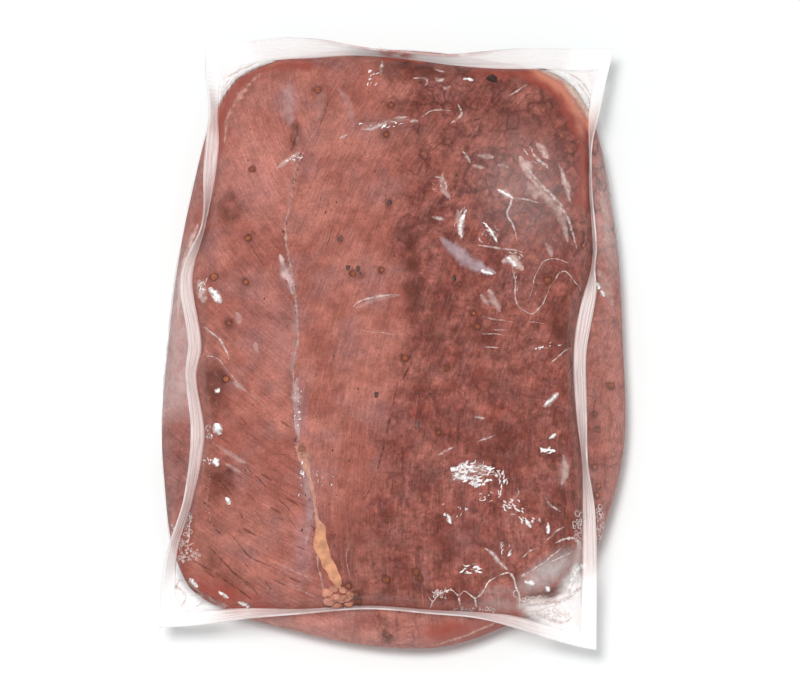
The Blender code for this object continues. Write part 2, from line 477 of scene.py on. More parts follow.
def noise_at(points, size, seed=0.0):
    """Smooth noise from about -1 to 1 at points, whose lumps are about size across."""
    return np.array([noise.noise(Vector(p) / size + Vector((seed, seed * 1.7, 0.0))) for p in points])


# Finish: wet grey-red beef. Grain, slits and dark veins are drawn along the fibres.
def put(tree, kind, inputs=None, **settings):
    """A shader node with its settings, and with values or links on its inputs."""
    made = tree.nodes.new(kind)
    for name, value in settings.items():
        setattr(made, name, value)
    for key, value in (inputs or {}).items():
        if isinstance(value, bpy.types.NodeSocket):
            tree.links.new(value, made.inputs[key])
        else:
            made.inputs[key].default_value = value
    return made


def mixed(tree, share, first, second, way="MIX"):
    made = put(tree, "ShaderNodeMix", {0: share, 6: first, 7: second}, data_type="RGBA", blend_type=way)
    return made.outputs[2]


def mixed_vectors(tree, share, first, second):
    keys = {0: share, 4: first, 5: second}
    return put(tree, "ShaderNodeMix", keys, data_type="VECTOR").outputs[1]


def maths(tree, way, first, second=0.0, clamp=False):
    return put(tree, "ShaderNodeMath", {0: first, 1: second}, operation=way, use_clamp=clamp).outputs[0]


def times(tree, first, second, clamp=False):
    return maths(tree, "MULTIPLY", first, second, clamp)


def bumped(tree, height, strength, distance):
    """The normal of a surface with relief. distance is in metres for a height of 1."""
    keys = {"Height": height, "Strength": strength, "Distance": distance}
    return put(tree, "ShaderNodeBump", keys).outputs[0]


def ramp(tree, value, low, high, start=0.0, end=1.0):
    keys = {"Value": value, "From Min": low, "From Max": high, "To Min": start, "To Max": end}
    return put(tree, "ShaderNodeMapRange", keys, interpolation_type="SMOOTHSTEP").outputs[0]


def lumps(tree, places, size, detail=2.0, rough=0.5):
    """Noise whose lumps are about size metres across."""
    keys = {"Vector": places, "Scale": 1 / size, "Detail": detail, "Roughness": rough}
    return put(tree, "ShaderNodeTexNoise", keys).outputs["Fac"]


def streaks(tree, grain, width, length, detail=2.0):
    """Noise drawn out along the fibres. width and length are in millimetres."""
    scaled = put(tree, "ShaderNodeMapping", {"Vector": grain, "Scale": (1 / width, 1 / length, 1.0)})
    keys = {"Vector": scaled.outputs[0], "Scale": 1.0, "Detail": detail}
    return put(tree, "ShaderNodeTexNoise", keys).outputs["Fac"]


def drawn_value(tree, name):
    return put(tree, "ShaderNodeAttribute", attribute_name=name).outputs["Fac"]


def new_material(name):
    made = bpy.data.materials.new(name)
    made.use_nodes = True
    made.node_tree.nodes.clear()
    return made, made.node_tree


def uneven_material(name):
    """A new material, its node tree, and the places on its surface in metres, for its patterns."""
    made, tree = new_material(name)
    return made, tree, put(tree, "ShaderNodeTexCoord").outputs["Object"]


def show(tree, shader):
    put(tree, "ShaderNodeOutputMaterial", {"Surface": shader.outputs[0]})


PALE_BEEF = (0.480, 0.180, 0.140, 1.0)
RED_BEEF = (0.375, 0.122, 0.093, 1.0)
GREY_BEEF = (0.365, 0.155, 0.138, 1.0)
DARK_BEEF = (0.275, 0.075, 0.058, 1.0)
BELLY_BEEF = (0.620, 0.245, 0.200, 1.0)
BROWN_BEEF = (0.085, 0.022, 0.014, 1.0)
VEIN_BEEF = (0.125, 0.040, 0.034, 1.0)
SLIT_BEEF = (0.110, 0.030, 0.020, 1.0)
PURPLE_SKIN = (0.400, 0.190, 0.182, 1.0)
RED_RIM = (0.38, 0.078, 0.054, 1.0)
ORANGE_RIM = (0.70, 0.265, 0.175, 1.0)
MAUVE_RIM = (0.44, 0.210, 0.190, 1.0)
PALE_RIM = (0.80, 0.59, 0.48, 1.0)


def grey(value):
    return (value, value, value, 1.0)


# the rim's colours from its inner edge outwards: where each starts and is full, its cover, its colour
RIM_COLOURS = (
    (0.04, 0.30, 0.85, RED_RIM),
    (0.26, 0.66, 0.95, ORANGE_RIM),
    (0.68, 0.76, 0.60, MAUVE_RIM),
    (0.74, 0.92, 0.95, PALE_RIM),
)
RIM_RAGGED = 0.6
PALE_THREAD_COLOUR = (0.60, 0.31, 0.26, 1.0)
# how much of the meat each marking covers at most
SMEAR_COVER = 0.42
FINE_VEIN_COVER = 0.55
VEIN_COVER = 0.74
BLOT_COVER = 0.38
PALE_THREAD_COVER = 0.22
STAIN_COVER = 0.8
SLIT_COVER = 0.62


def slit_group():
    """A node group: short dark slits along the fibres, one at most in each cell of a stretched pattern."""
    tree = bpy.data.node_groups.new("grain_slits", "ShaderNodeTree")
    tree.interface.new_socket("Grain", in_out="INPUT", socket_type="NodeSocketVector")
    for name, value in (("Width", 3.0), ("Length", 14.0), ("Size", 0.2)):
        tree.interface.new_socket(name, in_out="INPUT", socket_type="NodeSocketFloat").default_value = value
    tree.interface.new_socket("Slits", in_out="OUTPUT", socket_type="NodeSocketFloat")
    given = tree.nodes.new("NodeGroupInput").outputs
    cell = put(tree, "ShaderNodeCombineXYZ", {0: given["Width"], 1: given["Length"], 2: 1.0}).outputs[0]
    scaled = put(tree, "ShaderNodeVectorMath", {0: given["Grain"], 1: cell}, operation="DIVIDE").outputs[0]
    keys = {"Vector": scaled, "Scale": 2.0, "Detail": 1.0}
    wobble = put(tree, "ShaderNodeTexNoise", keys).outputs["Color"]
    bent = mixed_vectors(tree, 0.16, scaled, wobble)
    cells = put(tree, "ShaderNodeTexVoronoi", {"Vector": bent, "Scale": 1.0}, voronoi_dimensions="2D")
    draw = put(tree, "ShaderNodeSeparateColor", {0: cells.outputs["Color"]}).outputs[0]
    reach = times(tree, draw, given["Size"])
    depth = maths(tree, "SUBTRACT", reach, cells.outputs["Distance"])
    mask = ramp(tree, maths(tree, "DIVIDE", depth, given["Size"]), 0.25, 0.5)
    tree.links.new(mask, tree.nodes.new("NodeGroupOutput").inputs[0])
    return tree


SLITS = slit_group()


def slits(tree, grain, width, length, size):
    keys = {"Grain": grain, "Width": width, "Length": length, "Size": size}
    return put(tree, "ShaderNodeGroup", keys, node_tree=SLITS).outputs[0]


def vein_net(tree, places, size, width):
    """Ragged dark lines that meet in a net, whose meshes are about size metres across."""
    keys = {"Vector": places, "Scale": 0.7 / size, "Detail": 4.0, "Roughness": 0.58}
    swirl = put(tree, "ShaderNodeTexNoise", keys).outputs["Color"]
    bent = mixed_vectors(tree, size * 1.7, places, swirl)
    keys = {"Vector": bent, "Scale": 1 / size}
    cells = put(tree, "ShaderNodeTexVoronoi", keys, feature="DISTANCE_TO_EDGE")
    return ramp(tree, cells.outputs["Distance"], 0.0, width, 1.0, 0.0)


def toned(tree, colour, value, dark, light, low=0.3, high=0.7):
    """The colour made darker where the value is low and lighter where it is high."""
    shade = mixed(tree, ramp(tree, value, low, high), grey(dark), grey(light))
    return mixed(tree, 1.0, colour, shade, "MULTIPLY")


def meat_clouds(tree, places, dark):
    """The meat's ground colour: pale, red and grey lumps, from broad to fine, and its dark side."""
    broad = ramp(tree, lumps(tree, places, 0.024, 3.0), 0.38, 0.62)
    greyish = ramp(tree, lumps(tree, places, 0.013, 3.0), 0.46, 0.68, 0.0, 0.75)
    colour = mixed(tree, greyish, mixed(tree, broad, RED_BEEF, PALE_BEEF), GREY_BEEF)
    colour = mixed(tree, drawn_value(tree, "membrane"), colour, PURPLE_SKIN)
    colour = mixed(tree, drawn_value(tree, "belly"), colour, BELLY_BEEF)
    patchy = ramp(tree, lumps(tree, places, 0.015, 5.0, 0.65), 0.36, 0.62, 1.0, 0.25)
    colour = mixed(tree, times(tree, dark, patchy), colour, DARK_BEEF)
    colour = toned(tree, colour, lumps(tree, places, 0.006, 5.0, 0.65), 0.83, 1.12)
    deeper = toned(tree, colour, lumps(tree, places, 0.0042, 5.0, 0.7), 0.70, 1.19, 0.36, 0.64)
    deeper_grey = ramp(tree, lumps(tree, places, 0.005, 4.0, 0.65), 0.45, 0.62, 0.0, 0.32)
    return mixed(tree, dark, colour, mixed(tree, deeper_grey, deeper, GREY_BEEF))


def dark_smears(tree, places, grain, dark):
    smears = ramp(tree, streaks(tree, grain, 2.4, 9.0, 5.0), 0.5, 0.66)
    smears = times(tree, smears, ramp(tree, lumps(tree, places, 0.02, 3.0), 0.36, 0.56))
    return times(tree, times(tree, smears, dark), SMEAR_COVER)


def dark_veins(tree, places):
    network = ramp(tree, lumps(tree, places, 0.009, 4.0, 0.6), 0.38, 0.56)
    network = times(tree, drawn_value(tree, "network"), network)
    fine_veins = times(tree, vein_net(tree, places, 0.0042, 0.19), FINE_VEIN_COVER)
    veins = maths(tree, "MAXIMUM", fine_veins, vein_net(tree, places, 0.009, 0.15))
    return times(tree, times(tree, veins, network), VEIN_COVER)


def small_slits(tree, places, grain):
    spread = ramp(tree, lumps(tree, places, 0.012, 2.0), 0.40, 0.56, 0.35, 1.0)
    cuts = times(tree, slits(tree, grain, 2.6, 11.0, 0.2), drawn_value(tree, "slit"))
    ticks = times(tree, slits(tree, grain, 1.7, 5.0, 0.17), drawn_value(tree, "tick"))
    return times(tree, maths(tree, "MAXIMUM", cuts, ticks), spread)


def beef_material():
    made, tree, places = uneven_material("marinated_beef")
    grain = put(tree, "ShaderNodeUVMap", uv_map="grain").outputs["UV"]
    dark = drawn_value(tree, "dark")
    colour = meat_clouds(tree, places, dark)
    colour = mixed(tree, dark_smears(tree, places, grain, dark), colour, BROWN_BEEF)
    colour = mixed(tree, dark_veins(tree, places), colour, VEIN_BEEF)
    blots = ramp(tree, lumps(tree, places, 0.0023, 5.0, 0.7), 0.54, 0.68)
    colour = mixed(tree, times(tree, blots, times(tree, dark, BLOT_COVER)), colour, BROWN_BEEF)
    bundles = streaks(tree, grain, 2.0, 22.0, 3.0)
    threads = streaks(tree, grain, 0.55, 10.0, 4.0)
    calm = toned(tree, toned(tree, colour, bundles, 0.93, 1.05), threads, 0.85, 1.10)
    strong = toned(tree, toned(tree, colour, bundles, 0.90, 1.07), threads, 0.85, 1.11)
    colour = mixed(tree, dark, calm, strong)
    colour = toned(tree, colour, lumps(tree, places, 0.0011, 3.0, 0.7), 0.84, 1.12)
    pale = ramp(tree, streaks(tree, grain, 1.1, 14.0, 2.0), 0.64, 0.76, 0.0, PALE_THREAD_COVER)
    colour = mixed(tree, pale, colour, PALE_THREAD_COLOUR)
    soaked = ramp(tree, lumps(tree, places, 0.005, 4.0), 0.25, 0.6, 0.35, 0.9)
    soaked = times(tree, drawn_value(tree, "stain"), soaked)
    colour = mixed(tree, times(tree, soaked, STAIN_COVER), colour, BROWN_BEEF)
    cuts = small_slits(tree, places, grain)
    colour = mixed(tree, times(tree, cuts, SLIT_COVER), colour, SLIT_BEEF)
    unevenness = maths(tree, "SUBTRACT", lumps(tree, places, 0.011, 4.0, 0.6), 0.5)
    rim = maths(tree, "ADD", drawn_value(tree, "rim"), times(tree, unevenness, RIM_RAGGED))
    for start, full, cover, rim_colour in RIM_COLOURS:
        colour = mixed(tree, ramp(tree, rim, start, full, 0.0, cover), colour, rim_colour)
    relief = maths(tree, "ADD", bundles, maths(tree, "SUBTRACT", threads, cuts))
    normal = bumped(tree, relief, 0.6, 0.0004)
    keys = {"Base Color": colour, "Roughness": 0.5, "Specular IOR Level": 0.03, "Normal": normal}
    show(tree, put(tree, "ShaderNodeBsdfPrincipled", keys))
    return made


# patches on the front, in millimetres: x, y, half width, half length, and how strong
STAINS = (
    (-65, 51, 6, 7, 1),
    (-71, -22, 7, 10, 1),
    (-68, -60, 6, 9, 1),
    (-60, -76, 12, 6, 0.4),
    (-39.5, 80, 2.5, 6, 0.9),
    (-1.9, 52, 1.6, 3, 0.9),
    (-21.4, 37, 2, 1.8, 0.7),
    (-14, 22.5, 3, 1.6, 0.7),
    (8.8, -24.7, 1.2, 2.4, 0.8),
    (22, -90, 3.5, 3, 0.8),
    (-3, -74, 3.2, 3, 0.7),
    (-2, -104, 3, 4, 0.7),
    (7, 31, 3.5, 12, 1),
    (8, 14, 5, 8, 0.9),
    (16, -2, 4, 12, 0.7),
    (36, 92, 30, 5, 0.35),
    (7, 108, 12, 5, 0.95),
    (27, 108, 14, 4, 0.60),
    (46, 101, 22, 6, 0.30),
    (64, 90, 9, 9, 0.30),
    (55, 84, 14, 5, 0.4),
    (14, 79, 14, 5, 0.3),
    (35, -2, 5, 4, 0.7),
    (66, 2, 4, 9, 0.8),
    (48, -46, 16, 9, 0.5),
    (38, -21, 9, 6, 0.4),
    (64, -72, 5, 7, 0.6),
    (-10, -86, 14, 12, 0.3),
    (-74, -90, 6, 9, 0.55),
    (-64, -100.5, 9, 5, 0.50),
    (-79, -78, 3, 9, 0.38),
    (-66, 90, 3, 12, 0.25),
    (-89, -58, 6, 24, 0.50),
    (-77, -50, 6, 12, 0.35),
    (-72, -72, 9, 8, 0.30),
)
MEMBRANES = (
    (-37, -32, 3, 12, 0.8),
    (-34, -58, 2.6, 9, 0.9),
    (-32.6, -70, 2.4, 9, 0.9),
    (-35, -88, 4, 14, 0.8),
    (-43, 94.5, 4.5, 8, 0.8),
    (-42, 22, 5, 9, 0.5),
    (-45, 0, 6, 16, 0.45),
    (-60, 60, 14, 12, 0.3),
    (-52, 5, 14, 12, 0.3),
    (27, -80, 8, 14, 0.25),
)
PALE_PATCHES = (
    (-58, 72, 18, 22, 0.5),
    (-32, -114.6, 13, 2.4, 1),
    (-12, -119, 6, 2, 0.9),
    (73.5, -86, 3, 7, 0.9),
    (87, 50, 5, 26, 0.9),
)
# round corners that the meat keeps inside its pouch: centre and radius in millimetres
MEAT_CORNERS = ((-48.7, 90.5, 24), (53, 82, 30.5), (-66, -86, 20), (54, -81, 23))
# where the meat's rim is redder and then paler: its line, how strongly, how far in, and from which height
RIM_LINES = (
    (((-72, 78), (-71.5, 92), (-64.5, 105), (-50, 112), (-38, 113)), 0.38, 9, 30),
    (((62, 111), (68.5, 108), (76, 100.5), (79.5, 94)), 1, 13, 30),
    (((79.5, 94), (79, 86)), 0.8, 11, 39),
    (((34, 109.5), (60, 110)), 0.24, 8, 30),
    (((79, 86), (78.6, 54)), 0.40, 8, 39),
    (((-87, -86), (-82, -98.5), (-70.6, -107), (-54, -111)), 0.31, 13, 30),
    (((76, -84), (70, -97), (56, -104)), 0.16, 8, 30),
    (((-3, 115), (4, 115.5), (12, 113.5)), 0.5, 3.5, 30),
    (((16, -119), (28, -118), (44, -112)), 0.30, 10, -10),
    (((-66, 112), (-30, 122), (10, 124)), 0.2, 6, -10),
)
CORNER_EASE = 2 * MM
TUCK_SLOPE = 0.35
TUCK_FROM_Z = (24, 8)
TUCK_CORNER_GAIN = 1.4
SEAM_DEPTH = 0.7 * MM
SEAM_HALF_WIDTH = 1.3 * MM
SPLIT_DEPTH = 0.35 * MM
SPLIT_HALF_WIDTH = 0.9 * MM
BUNDLE_WIDTH = 2.6
BUNDLE_LENGTH = 34.0
BUNDLE_RELIEF = 0.12 * MM
DENT_SIZE = 9 * MM
DENT_RELIEF = 0.10 * MM
COARSE_SIZE = 3.5 * MM
BROAD_SIZE = 14 * MM
# stretches in millimetres over which traits of the meat fade in, by the axis that they run along: where
# they start, and how far on they are full, which is below 0 where that is downwards or to the left
FRONT_FROM_Z = (44, 6)
TOP_SEAL_FROM_Z = (34, 6)
BELLY_FROM_Z = (38, -4)
DARK_FOOT_FROM_Y = (-62, -30)
DARK_FOOT_FROM_X = (-36, 10)
DARK_SIDE_FROM_Y = (-32, -12)
DARK_SIDE_FROM_X = (-78, -5)
LIGHTER_FROM_Y = (45, 25)
TOP_EDGE_FROM_Y = (95, -15)
RED_CORNER_FROM_X = (12, 8)
RED_CORNER_FROM_Y = (-96, -10)
NETWORK_FROM_Y = (20, 25)
SLITS_FROM_Y = (10, -50)
TOP_SEAL_Y = 100 * MM
LEFT_BELLY_X = -50 * MM
LEFT_BELLY_Y = -30 * MM
DARK_EDGE_WANDER = 9 * MM
DARK_EDGE_RUN = 10 * MM
NETWORK_WANDER = 12 * MM
# how strong those traits are
FOOT_DARKNESS = 0.75
SIDE_DARKNESS = 0.7
BACK_DARKNESS = 0.1
LIGHTER_SHARE = 0.5
BELLY_PALENESS = 0.72
LEFT_BELLY_PALENESS = 0.15
DARK_NETWORK = 0.5
LEAST_NETWORK = 0.12
LEAST_SLITS = 0.25
LEFT_TICKS = 0.2
RIGHT_TICKS = 0.75
PATCH_CORE = 1.6
PATCH_FADE = 1.2
RIM_RISE = 6


def patch_strength(x, y, patches, ragged):
    """How strongly oval patches, given in millimetres, mark each point. Their edges are ragged."""
    strength = np.zeros(len(x))
    for mid_x, mid_y, half_x, half_y, amount in patches:
        reach = np.hypot((x / MM - mid_x) / half_x, (y / MM - mid_y) / half_y) + ragged
        strength = np.maximum(strength, amount * np.clip(PATCH_CORE - PATCH_FADE * reach, 0.0, 1.0))
    return strength


def from_corner(x, y, corner, below=0.0):
    """Places seen from a round corner's centre: away in x and y, how far, whether beyond, and a taper."""
    mid_x, mid_y, _ = corner
    away_x, away_y = x - mid_x * MM, y - mid_y * MM + below
    beyond = (away_x * mid_x > 0) & (away_y * mid_y > 0)
    distance = np.maximum(np.hypot(away_x, away_y), 1e-6)
    taper = np.abs(2 * away_x * away_y / distance**2) ** 0.5
    return away_x, away_y, distance, beyond, np.clip(taper * TUCK_CORNER_GAIN, 0.0, 1.0)


def tucked(places):
    """Draws the roast's upper corners in to rounds, sloping down."""
    x, y, z = places.T
    weight = past(z, TUCK_FROM_Z)
    for corner in MEAT_CORNERS:
        away_x, away_y, distance, beyond, taper = from_corner(x, y, corner)
        excess = np.maximum(distance - (corner[2] * MM - CORNER_EASE), 0.0)
        eased = CORNER_EASE * (1 - np.exp(-excess / CORNER_EASE))
        pull = np.where(beyond, (excess - eased) * weight * taper, 0.0)
        places[:, 0] -= away_x / distance * pull
        places[:, 1] -= away_y / distance * pull
        places[:, 2] -= pull * TUCK_SLOPE


def rim_strength(places):
    """How strong the colour of the meat's rim is: 0 where it ends, and 1 on its line."""
    x, y, z = places.T
    glow = np.zeros(len(x))
    for line, strength, run, lowest in RIM_LINES:
        inside = 1 - distance_to_line(x, y, smoothed(line)) / (run * MM)
        high_enough = past(z, (lowest, RIM_RISE))
        glow = np.maximum(glow, strength * np.clip(inside, 0.0, 1.0) * high_enough)
    return glow


def relief_on(x, y, z, left, dents):
    """How far the meat's face lies below the pouch's front: at its seam, its split, and between bundles."""
    grain = np.where(left, grain_place(x, y, LEFT_GRAIN_CENTRE), grain_place(x, y, MIDDLE_GRAIN_CENTRE))
    across, along = grain
    spots = np.stack([across / BUNDLE_WIDTH, along / BUNDLE_LENGTH, np.zeros(len(x))], 1)
    seam = np.exp(-((distance_to_line(x, y, smoothed(SEAM)) / SEAM_HALF_WIDTH) ** 2))
    split = np.exp(-((distance_to_line(x, y, smoothed(SPLIT)) / SPLIT_HALF_WIDTH) ** 2))
    uneven = BUNDLE_RELIEF * (1 - noise_at(spots, 1.0)) + DENT_RELIEF * (1 - dents)
    return (SEAM_DEPTH * seam + SPLIT_DEPTH * split + uneven) * past(z, FRONT_FROM_Z)


def write_grain(mesh, x, y, z):
    """A UV map: across and along the fibres, in millimetres, each face on its own side of the seam."""
    corners = np.empty(len(mesh.loops), np.int32)
    mesh.loops.foreach_get("vertex_index", corners)
    counts = np.empty(len(mesh.polygons), np.int32)
    mesh.polygons.foreach_get("loop_total", counts)
    centres = np.empty(len(mesh.polygons) * 3, np.float32)
    mesh.polygons.foreach_get("center", centres)
    centres = centres.reshape(-1, 3)
    left = np.repeat(centres[:, 0] < line_x_at(centres[:, 1], SEAM), counts)
    cx, cy = x[corners], y[corners]
    grain = np.where(left, grain_place(cx, cy, LEFT_GRAIN_CENTRE), grain_place(cx, cy, MIDDLE_GRAIN_CENTRE))
    grain[1] += z[corners] / MM
    mesh.uv_layers.new(name="grain").data.foreach_set("uv", grain.T.astype(np.float32).ravel())


def write_traits(mesh, x, y, z, left, places):
    """What the finish reads: where the meat is stained, dark, pale, skinned, veined and slit."""
    coarse = noise_at(places, COARSE_SIZE, seed=9.0)
    broad = noise_at(places, BROAD_SIZE, seed=13.0)
    on_top = past(z, FRONT_FROM_Z)
    near_top_seal = past(z, TOP_SEAL_FROM_Z) * (y > TOP_SEAL_Y)
    stained = patch_strength(x, y, STAINS, 0.35 * coarse + 0.25 * broad)
    past_edge = (x - line_x_at(y, RIGHT_EDGE) + DARK_EDGE_WANDER * broad) / DARK_EDGE_RUN
    right = np.clip(past_edge + 0.5, 0.0, 1.0)
    foot = past(y, DARK_FOOT_FROM_Y) * past(x, DARK_FOOT_FROM_X)
    lighter = 1 - LIGHTER_SHARE * past(y, LIGHTER_FROM_Y) * past(y, TOP_EDGE_FROM_Y)
    dark = np.maximum(right, FOOT_DARKNESS * foot) * lighter * between(BACK_DARKNESS, 1.0, on_top)
    dark_side = past(y, DARK_SIDE_FROM_Y) * past(x, DARK_SIDE_FROM_X)
    red_corner = past(x, RED_CORNER_FROM_X) * past(y, RED_CORNER_FROM_Y)
    paleness = np.where(x < LEFT_BELLY_X, LEFT_BELLY_PALENESS * (y > LEFT_BELLY_Y), BELLY_PALENESS)
    belly = paleness * past(z, BELLY_FROM_Z) * (1 - red_corner)
    top_right = past(y + NETWORK_WANDER * broad, NETWORK_FROM_Y) * right
    traits = {
        "stain": stained * np.maximum(on_top, near_top_seal),
        "membrane": patch_strength(x, y, MEMBRANES, 0.3 * coarse) * on_top,
        "dark": np.maximum(dark, SIDE_DARKNESS * dark_side),
        "belly": np.maximum(belly, patch_strength(x, y, PALE_PATCHES, 0.3 * coarse)),
        "network": np.maximum(top_right, DARK_NETWORK * right) + LEAST_NETWORK,
        "slit": np.maximum(past(y, SLITS_FROM_Y) * left, LEAST_SLITS),
        "tick": np.where(left, LEFT_TICKS, RIGHT_TICKS),
    }
    for name, values in traits.items():
        write_attribute(mesh, name, values)


def roast():
    rings = [
        *[shoulder_ring(share, roast_waist, FILM_GAP) for share in steps(ROAST_SHOULDER_RINGS)],
        *[side_ring(share, roast_waist, MEAT_SHARE) for share in steps(ROAST_SIDE_RINGS)],
        *[foot_ring(share, MEAT_SHARE, FOOT_GAP) for share in steps(ROAST_FOOT_RINGS)],
    ]
    bm, rim = drawn_skin(ROAST_ACROSS, ROAST_ALONG, roast_front, rings)
    bmesh.ops.contextual_create(bm, geom=rim)
    bmesh.ops.recalc_face_normals(bm, faces=bm.faces)
    piece = piece_from(bm, "beef_roast", beef_material())
    mesh = piece.data
    places = vertex_places(mesh)
    x, y, z = places.T.copy()
    left = x < line_x_at(y, SEAM)
    write_traits(mesh, x, y, z, left, places)
    places[:, 2] -= relief_on(x, y, z, left, noise_at(places, DENT_SIZE, seed=4.0))
    tucked(places)
    mesh.vertices.foreach_set("co", places.astype(np.float32).ravel())
    write_attribute(mesh, "rim", rim_strength(places))
    write_grain(mesh, x, y, z)
    return piece


beef = roast()

# The marks in the meat's face.
# Where bundles of fibres part there are dark slits, and thin white sinew shows between them. A pale skin
# lies along the seam of the two muscles.
SLIT_LINES = (
    (((-60.5, -34.8), (-57.7, -38)), 0.6),
    (((-56.5, -41.2), (-51.7, -46.4), (-46.6, -50), (-40.7, -49.6)), 0.4),
    (((-68.8, -59.2), (-64.8, -64.3), (-62.5, -67.1)), 0.7),
    (((-57.9, -54.8), (-53.1, -59.6), (-49.2, -63.9)), 0.6),
    (((-57.8, -65.1), (-54.2, -68.7)), 0.8),
    (((-46, -66.3), (-41.3, -71.4), (-37.4, -76.2)), 0.5),
    (((-60.8, -72.2), (-57.7, -77)), 0.6),
    (((-70.1, -79), (-67, -82.1)), 0.7),
    (((-64.1, -81.1), (-59.9, -86), (-56, -90.4), (-51.3, -92.7), (-46, -95)), 0.7),
    (((-73, -84.8), (-68.7, -90.1), (-64, -94.8), (-58.5, -99.9), (-53.8, -103.4)), 0.9),
    (((-59.8, -97.8), (-55.9, -101.4), (-52.7, -105.6)), 0.7),
    (((-54.6, -71.4), (-51.4, -76.6), (-47.5, -80.5)), 0.4),
    (((-42.1, -73.8), (-38.1, -79)), 0.4),
    (((-59.1, -91.9), (-56.7, -94.3)), 0.8),
    (((-50.2, -100), (-47.5, -103.5)), 0.9),
    (((-50.6, 6.7), (-48.2, 4.1)), 0.35),
    (((-63.2, 32.4), (-63.5, 29.9)), 0.4),
    (((-58, 36.5), (-54, 29.9), (-50, 23.9)), 0.35),
    (((-27.1, 101.7), (-26.6, 93.5), (-29.2, 86), (-31.4, 79)), 0.45),
    (((-38.4, 84.9), (-39.2, 79.9), (-41.2, 73.5)), 1.1),
    (((-28.7, 60), (-29.5, 52), (-32.5, 44)), 0.3),
    (((-1.9, 63), (-3.2, 55), (-2.9, 47)), 0.35),
    (((-24, 44), (-25.5, 38), (-27.5, 30)), 0.5),
    (((6, -14.5), (3.6, -20)), 1.3),
    (((1.4, -23.5), (0.2, -27.5), (-0.3, -31)), 1),
    (((-0.5, -32.5), (-1.8, -37), (-2.7, -42)), 1.4),
    (((-3, -43.5), (-4.8, -50), (-6.2, -56)), 1.1),
    (((-6.8, -57.5), (-8.8, -62.5), (-12, -68)), 0.6),
    (((-79.7, -90.2), (-72.4, -94.6), (-63.2, -100.9), (-55.3, -106.6)), 1.3),
    (((9.6, -24), (10.2, -27)), 0.7),
    (((-16.6, -18.3), (-18, -21.5)), 0.8),
    (((72.6, -3), (71, -12), (67, -19)), 0.6),
    (((66, -60), (67.5, -70), (66, -78)), 0.7),
)
SINEW_LINES = (
    (((-48.2, -91.9), (-43.5, -93.9), (-36.4, -97), (-33.3, -98.6), (-31, -101)), 0.55),
    (((-46.2, -99), (-40.3, -101), (-34.4, -102.7)), 0.4),
    (((-40.1, -100.9), (-35, -104), (-29.6, -105.6)), 0.6),
    (((-54.1, -98.7), (-49.2, -102.5), (-45.5, -104.6)), 0.4),
    (((-60.6, -22.8), (-54.6, -27.2), (-49.5, -31.2)), 0.5),
    (((-26, 103), (-20, 96), (-19, 90)), 0.4),
    (((-62, -15), (-52, -30), (-47, -42)), 0.3),
    (((-16, -100), (-18.5, -92), (-17, -84)), 0.45),
)
RIM_STREAKS = (
    (((-65, 94), (-62.4, 99.2), (-57.6, 104.4)), 5.2),
    (((-68, 78), (-67.8, 87), (-66, 94)), 3),
    (((-58, 105), (-53.6, 108.4)), 2.8),
    (((14, -122.4), (26, -119.4), (38, -114.6), (45, -111.6)), 1.4),
)
RIM_FAT_COLOUR = (0.74, 0.34, 0.26, 1.0)
SLIT_COLOUR = (0.125, 0.036, 0.026, 1.0)
SINEW_COLOUR = (0.62, 0.38, 0.34, 1.0)
UPPER_SINEW_SHARE = 0.45
CLOSED_SEAM_FROM = 36.0
STRIP_STEP = 0.7
STRIP_END = 0.4
TAPER_POWER = 0.6
RAGGED_GAIN = 1.8
RAGGED_LENGTH = 1.3
WANDER_LENGTH = 4.0
WANDER = 0.35
STEP_INWARDS = 0.99
ABOVE_ALL = 80 * MM


def spaced(points, step):
    """Places a step apart along a smooth line through points, in millimetres."""
    line = np.array(smoothed(list(points), 12))
    reach = np.concatenate([[0.0], np.cumsum(np.hypot(*np.diff(line, axis=0).T))])
    at = np.linspace(0.0, reach[-1], max(int(reach[-1] / step), 2) + 1)
    return np.stack([np.interp(at, reach, line[:, k]) for k in (0, 1)], 1)


def surface_of(*pieces):
    """What a strip or a drop is laid on: the pieces' faces, looked for from above."""
    bm = bmesh.new()
    for piece in pieces:
        bm.from_mesh(piece.data)
    tree = BVHTree.FromBMesh(bm)
    bm.free()
    return tree


def height_on(surface, x, y):
    hit = surface.ray_cast(Vector((x, y, ABOVE_ALL)), Vector((0.0, 0.0, -1.0)))[0]
    return hit.z if hit else None


